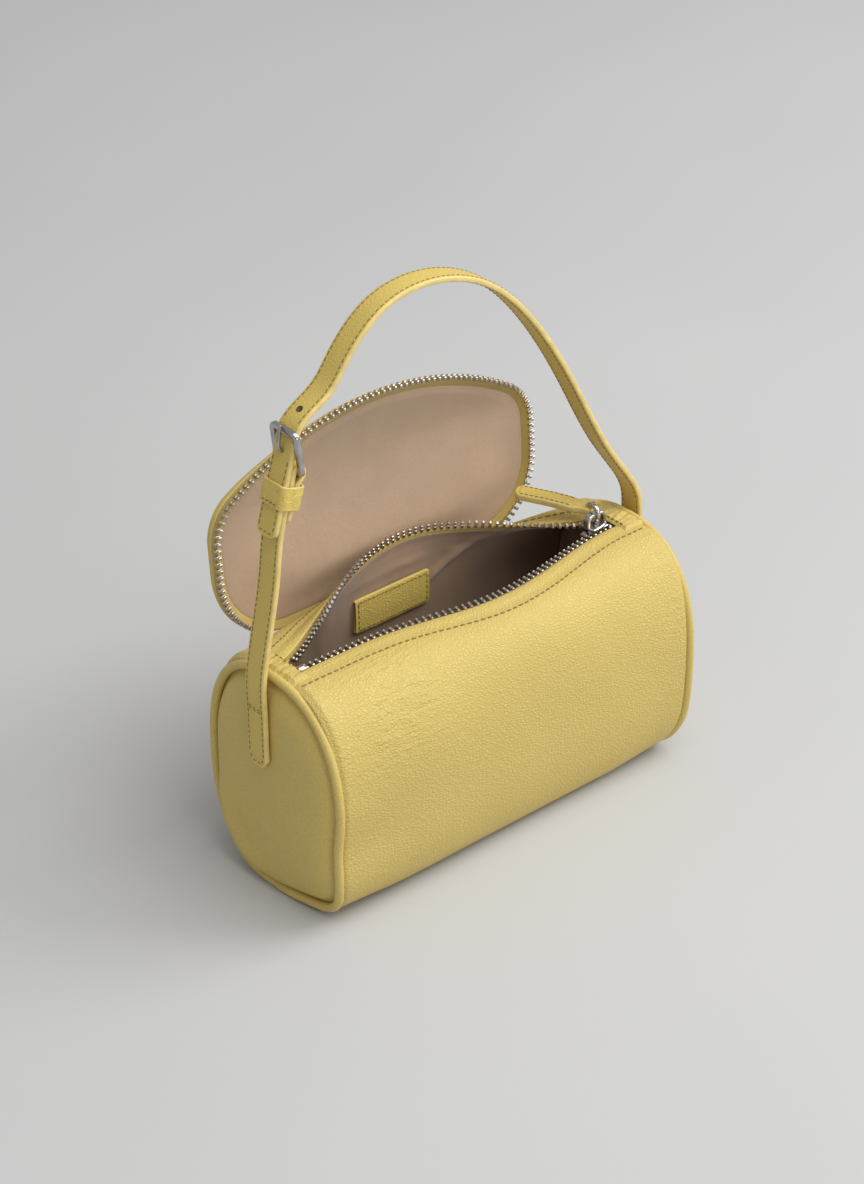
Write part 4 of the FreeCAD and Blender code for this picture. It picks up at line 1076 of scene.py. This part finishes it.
def strap_stitches(name, path, normal, shares, steps, spans, outer_only=()):
    rows = []
    for start, end in spans:
        pick = [k for k, s in enumerate(steps) if start <= s <= end]
        for face in (1, -1):
            for edge in (-1, 1):
                line = [path[k] + Y_WAY * edge * (STRAP_HALF * shares[k] - 1.5)
                        + normal[k] * face * (STRAP_THIN + (0.1 if face > 0 else 0.0)) for k in pick]
                rows.append(stitch_row(line, normal[pick] * face, *STRAP_STITCH))
    rows += [stitch_row(line, out, *FOOT_STITCH) for line, out in outer_only]
    thing = piece(name, *joined(rows), SEWING)
    bend_at_foot(thing)


def foot_rows(side):
    """Sewn foot of a strap: the rows that close its blunt point, and a short bar across its top."""
    x = side * (STRAP_X + STRAP_THIN + 0.16)
    lines = (((-4.5, 71.6), (-3.0, 68.6)), ((-3.0, 68.6), (3.0, 68.6)), ((4.5, 71.6), (3.0, 68.6)),
             ((-4.2, 95.4), (4.2, 95.4)), ((-4.2, 94.2), (4.2, 94.2)))
    return [(np.linspace((x, STRAP_Y + a, b), (x, STRAP_Y + c, d), 16), X_WAY * side) for (a, b), (c, d) in lines]


blunt_point, square_end = (4.2, 0.52, 1.25), (2.6, 0.55, 2.5)
path, normal, shares, steps = strap("long_strap_leather", long_run, ("long_strap", "right_strap_anchor"),
                                    blunt_point, square_end, 1.0)
tail_out = normal[-1]
tail_mid = path[-1] - tangents(path)[-1] * 1.7 + tail_out * (STRAP_THIN + 0.12)
tail_row = (np.linspace(tail_mid - Y_WAY * 4, tail_mid + Y_WAY * 4, 12), tail_out)
strap_stitches("long_strap_stitches", path, normal, shares, steps,
               ((5.0, steps[-1] - 48.0), (steps[-1] - 34.0, steps[-1] - 2.0)), foot_rows(1) + [tail_row])
# The spare punched hole, shown as a dark plug through the strap: painted shade standing in for the open hole
hole_at = min(range(len(path)), key=lambda k: abs(steps[-1] - steps[k] - TAIL - 26.0))
hole_path = np.array([path[hole_at] + normal[hole_at] * d for d in (-1.35, -1.0, 0.0, 1.0, 1.52)])
hole = tube(hole_path, 1.55, 20, start_normal=Y_WAY)
dark = thread("punched_hole_painted_shade", (0.10, 0.065, 0.02))
piece("spare_hole", *hole, dark, "handle", slot="strap_leather")

path, normal, shares, steps = strap("buckle_strap_leather", short_run, ("buckle_strap", "left_strap_anchor"),
                                    blunt_point, square_end, -1.0)
bend_from = steps[-1] - FOLD - pi * WRAP - 6.0
strap_stitches("buckle_strap_stitches", path, normal, shares, steps, ((5.0, bend_from),), foot_rows(-1))

# Buckle: a flat-sided frame with rounded corners
heel, top = np.array(buckle_spot(0.0, HEEL_OUT)), np.array(buckle_spot(BUCKLE_REACH, 2.45))
frame_way = np.array([top[0] - heel[0], 0.0, top[1] - heel[1]])
frame_long = np.linalg.norm(frame_way) / 2
frame_way /= 2 * frame_long
frame_mid = np.array([(heel[0] + top[0]) / 2, STRAP_Y, (heel[1] + top[1]) / 2])
frame_wide, corner = 7.4, 2.3
loop = rounded_loop(frame_long, frame_wide, corner, 120)
path = np.array([frame_mid + frame_way * a + Y_WAY * b for a, b in loop])
face_way = np.cross(frame_way, Y_WAY)
bar_section, _ = rounded_section(1.4, 1.05, 0.45, 0.1)
across = np.cross(face_way, tangents(path, closed=True))
out = face_way if face_way[0] < 0 else -face_way
piece("buckle_metal", *sweep(path, across, out, bar_section, closed=True), DARK_METAL, "handle", ("buckle_frame",),
      "bright_metal")

# Prong: an arm over the strap to the frame's top bar, and an eye round its heel bar
arm = [(-0.6, HEEL_OUT + 2.1), (2.5, HEEL_OUT + 1.9), (6.4, -2.1), (9.6, 3.6), (13.5, 4.45), (18.4, 4.75)]
PRONG_COUNT, EYE_RADIUS = 46, 1.75
run = smooth_run([buckle_spot(a, b) for a, b in arm], PRONG_COUNT)
path = np.array([(x, STRAP_Y, z) for x, z in run])
section, _ = rounded_section(1.1, 0.75, 0.45, 0.1)
shares = [1.0 - 0.45 * eased(k, 20, PRONG_COUNT - 1) for k in range(PRONG_COUNT)]
eye_out = np.array([(cos(a), 0.0, sin(a)) for a in np.linspace(0, 2 * pi, 28, endpoint=False)])
eye = np.array([heel[0], STRAP_Y, heel[1]]) + EYE_RADIUS * eye_out
eye_section, _ = rounded_section(1.1, 0.5, 0.35)
piece("prong_metal", *joined([
    sweep(path, Y_WAY, np.cross(tangents(path), Y_WAY), section, width_share=shares),
    sweep(eye, Y_WAY, eye_out, eye_section, closed=True)]),
    DARK_METAL, "prong", ("buckle_prong",), "bright_metal")

# Keeper: a soft leather loop round the stacked straps
low, high = -8.0, 1.55
keeper_x, keeper_z = buckle_spot(-10.0, (low + high) / 2)
keeper_mid = np.array([keeper_x, STRAP_Y, keeper_z])
along_way = np.array([sin(BUCKLE_LEAN), 0.0, cos(BUCKLE_LEAN)])
out_way = np.array([-cos(BUCKLE_LEAN), 0.0, sin(BUCKLE_LEAN)])
half_deep, half_wide, corner = (high - low) / 2 + 0.35, 6.75, 2.2
KEEPER_COUNT = 140
loop = rounded_loop(half_deep, half_wide, corner, KEEPER_COUNT)
ahead = tangents(loop, closed=True)
section, sides = rounded_section(5.0, 0.6, 0.45, 0.25, across=10)
points = []
for (a, b), (ta, tb) in zip(loop, ahead):
    base = keeper_mid + out_way * a + Y_WAY * b
    out = out_way * tb - Y_WAY * ta
    for u, w in section:
        crease = 0.35 * wander(a / 3.0, b / 3.0, u / 2.6) + 0.28 * (abs(u) / 5.0) ** 3
        points.append(base + along_way * u + out * (w + crease))
faces = grid_faces(KEEPER_COUNT, len(section), closed_rows=True, closed_columns=True)
piece("keeper_leather", points, faces, [STRAP_LEATHER, EDGE_PAINT], "handle", ("keeper_loop",), "strap_leather",
      edge_marks(sides, faces, caps=0))
seam_mid = keeper_mid + out_way * (half_deep + 0.95) - along_way * 3.4
line = np.linspace(seam_mid - Y_WAY * 4.8, seam_mid + Y_WAY * 4.8, 14)
piece("keeper_stitches", *stitch_row(line, out_way, *KEEPER_STITCH), SEWING, "handle", slot="strap_leather")


# Stage, light and camera

floor_paint = Paint("floor_card")
mottle = floor_paint.span(floor_paint.noise(3.0, 2.0), 0.2, 0.8)
shade = floor_paint.blend(mottle, (0.52, 0.52, 0.52, 1.0), (0.54, 0.54, 0.538, 1.0))
floor_card = floor_paint.set(Base_Color=shade, Roughness=0.85, Specular_IOR_Level=0.15)
FLOOR_HALF, FLOOR_Z = 6000, -0.05
corners = [(a * FLOOR_HALF, b * FLOOR_HALF, FLOOR_Z) for a, b in ((-1, -1), (1, -1), (1, 1), (-1, 1))]
floor = piece("floor", corners, [(0, 1, 2, 3)], floor_card)

world = bpy.data.worlds.new("studio")
world.use_nodes = True
bpy.context.scene.world = world
backdrop = world.node_tree.nodes["Background"].inputs
backdrop["Color"].default_value = (1.0, 1.0, 1.0, 1.0)
backdrop["Strength"].default_value = 0.43


def soft_box(name, place, aim, size, power):
    lamp = bpy.data.lights.new(name, "AREA")
    lamp.shape = "RECTANGLE"
    lamp.size, lamp.size_y = size
    lamp.energy = power
    thing = bpy.data.objects.new(name, lamp)
    bpy.context.scene.collection.objects.link(thing)
    thing.location = place
    thing.rotation_euler = (Vector(aim) - Vector(place)).to_track_quat("-Z", "Y").to_euler()


soft_box("key", (1.75, -0.95, 1.45), (0.0, 0.0, 0.08), (1.6, 1.4), 31.0)
soft_box("top", (0.2, -0.75, 1.95), (0.0, 0.0, 0.05), (1.8, 1.4), 25.0)
soft_box("front", (0.2, -2.2, 0.9), (0.0, 0.0, 0.08), (1.8, 0.9), 8.0)

AZIMUTH, RAISE, ROLL = radians(-40.958), radians(33.48), radians(-0.185)
DISTANCE, TARGET = 1.350215, Vector((0.0, 0.0, 0.06))
PHOTO_WIDE, PHOTO_TALL, FOCAL_PIXELS = 864, 1184, 3104.1
CENTRE_U, CENTRE_V = 457.04, 687.25
SENSOR = 36.0
back = Vector((sin(AZIMUTH) * cos(RAISE), -cos(AZIMUTH) * cos(RAISE), sin(RAISE)))
right = Vector((cos(AZIMUTH), sin(AZIMUTH), 0.0))
up = back.cross(right)
side_way = right * cos(ROLL) + up * sin(ROLL)
up_way = up * cos(ROLL) - right * sin(ROLL)
lens = bpy.data.cameras.new("photo_view")
lens.sensor_width = SENSOR
lens.lens = FOCAL_PIXELS * SENSOR / PHOTO_TALL
lens.shift_x = (PHOTO_WIDE / 2 - CENTRE_U) / PHOTO_TALL
lens.shift_y = (CENTRE_V - PHOTO_TALL / 2) / PHOTO_TALL
camera = bpy.data.objects.new("photo_view", lens)
bpy.context.scene.collection.objects.link(camera)
turn = Matrix((side_way, up_way, back)).transposed()
camera.matrix_world = Matrix.Translation(TARGET + back * DISTANCE) @ turn.to_4x4()
bpy.context.scene.camera = camera
bpy.context.scene.view_settings.view_transform = "Standard"
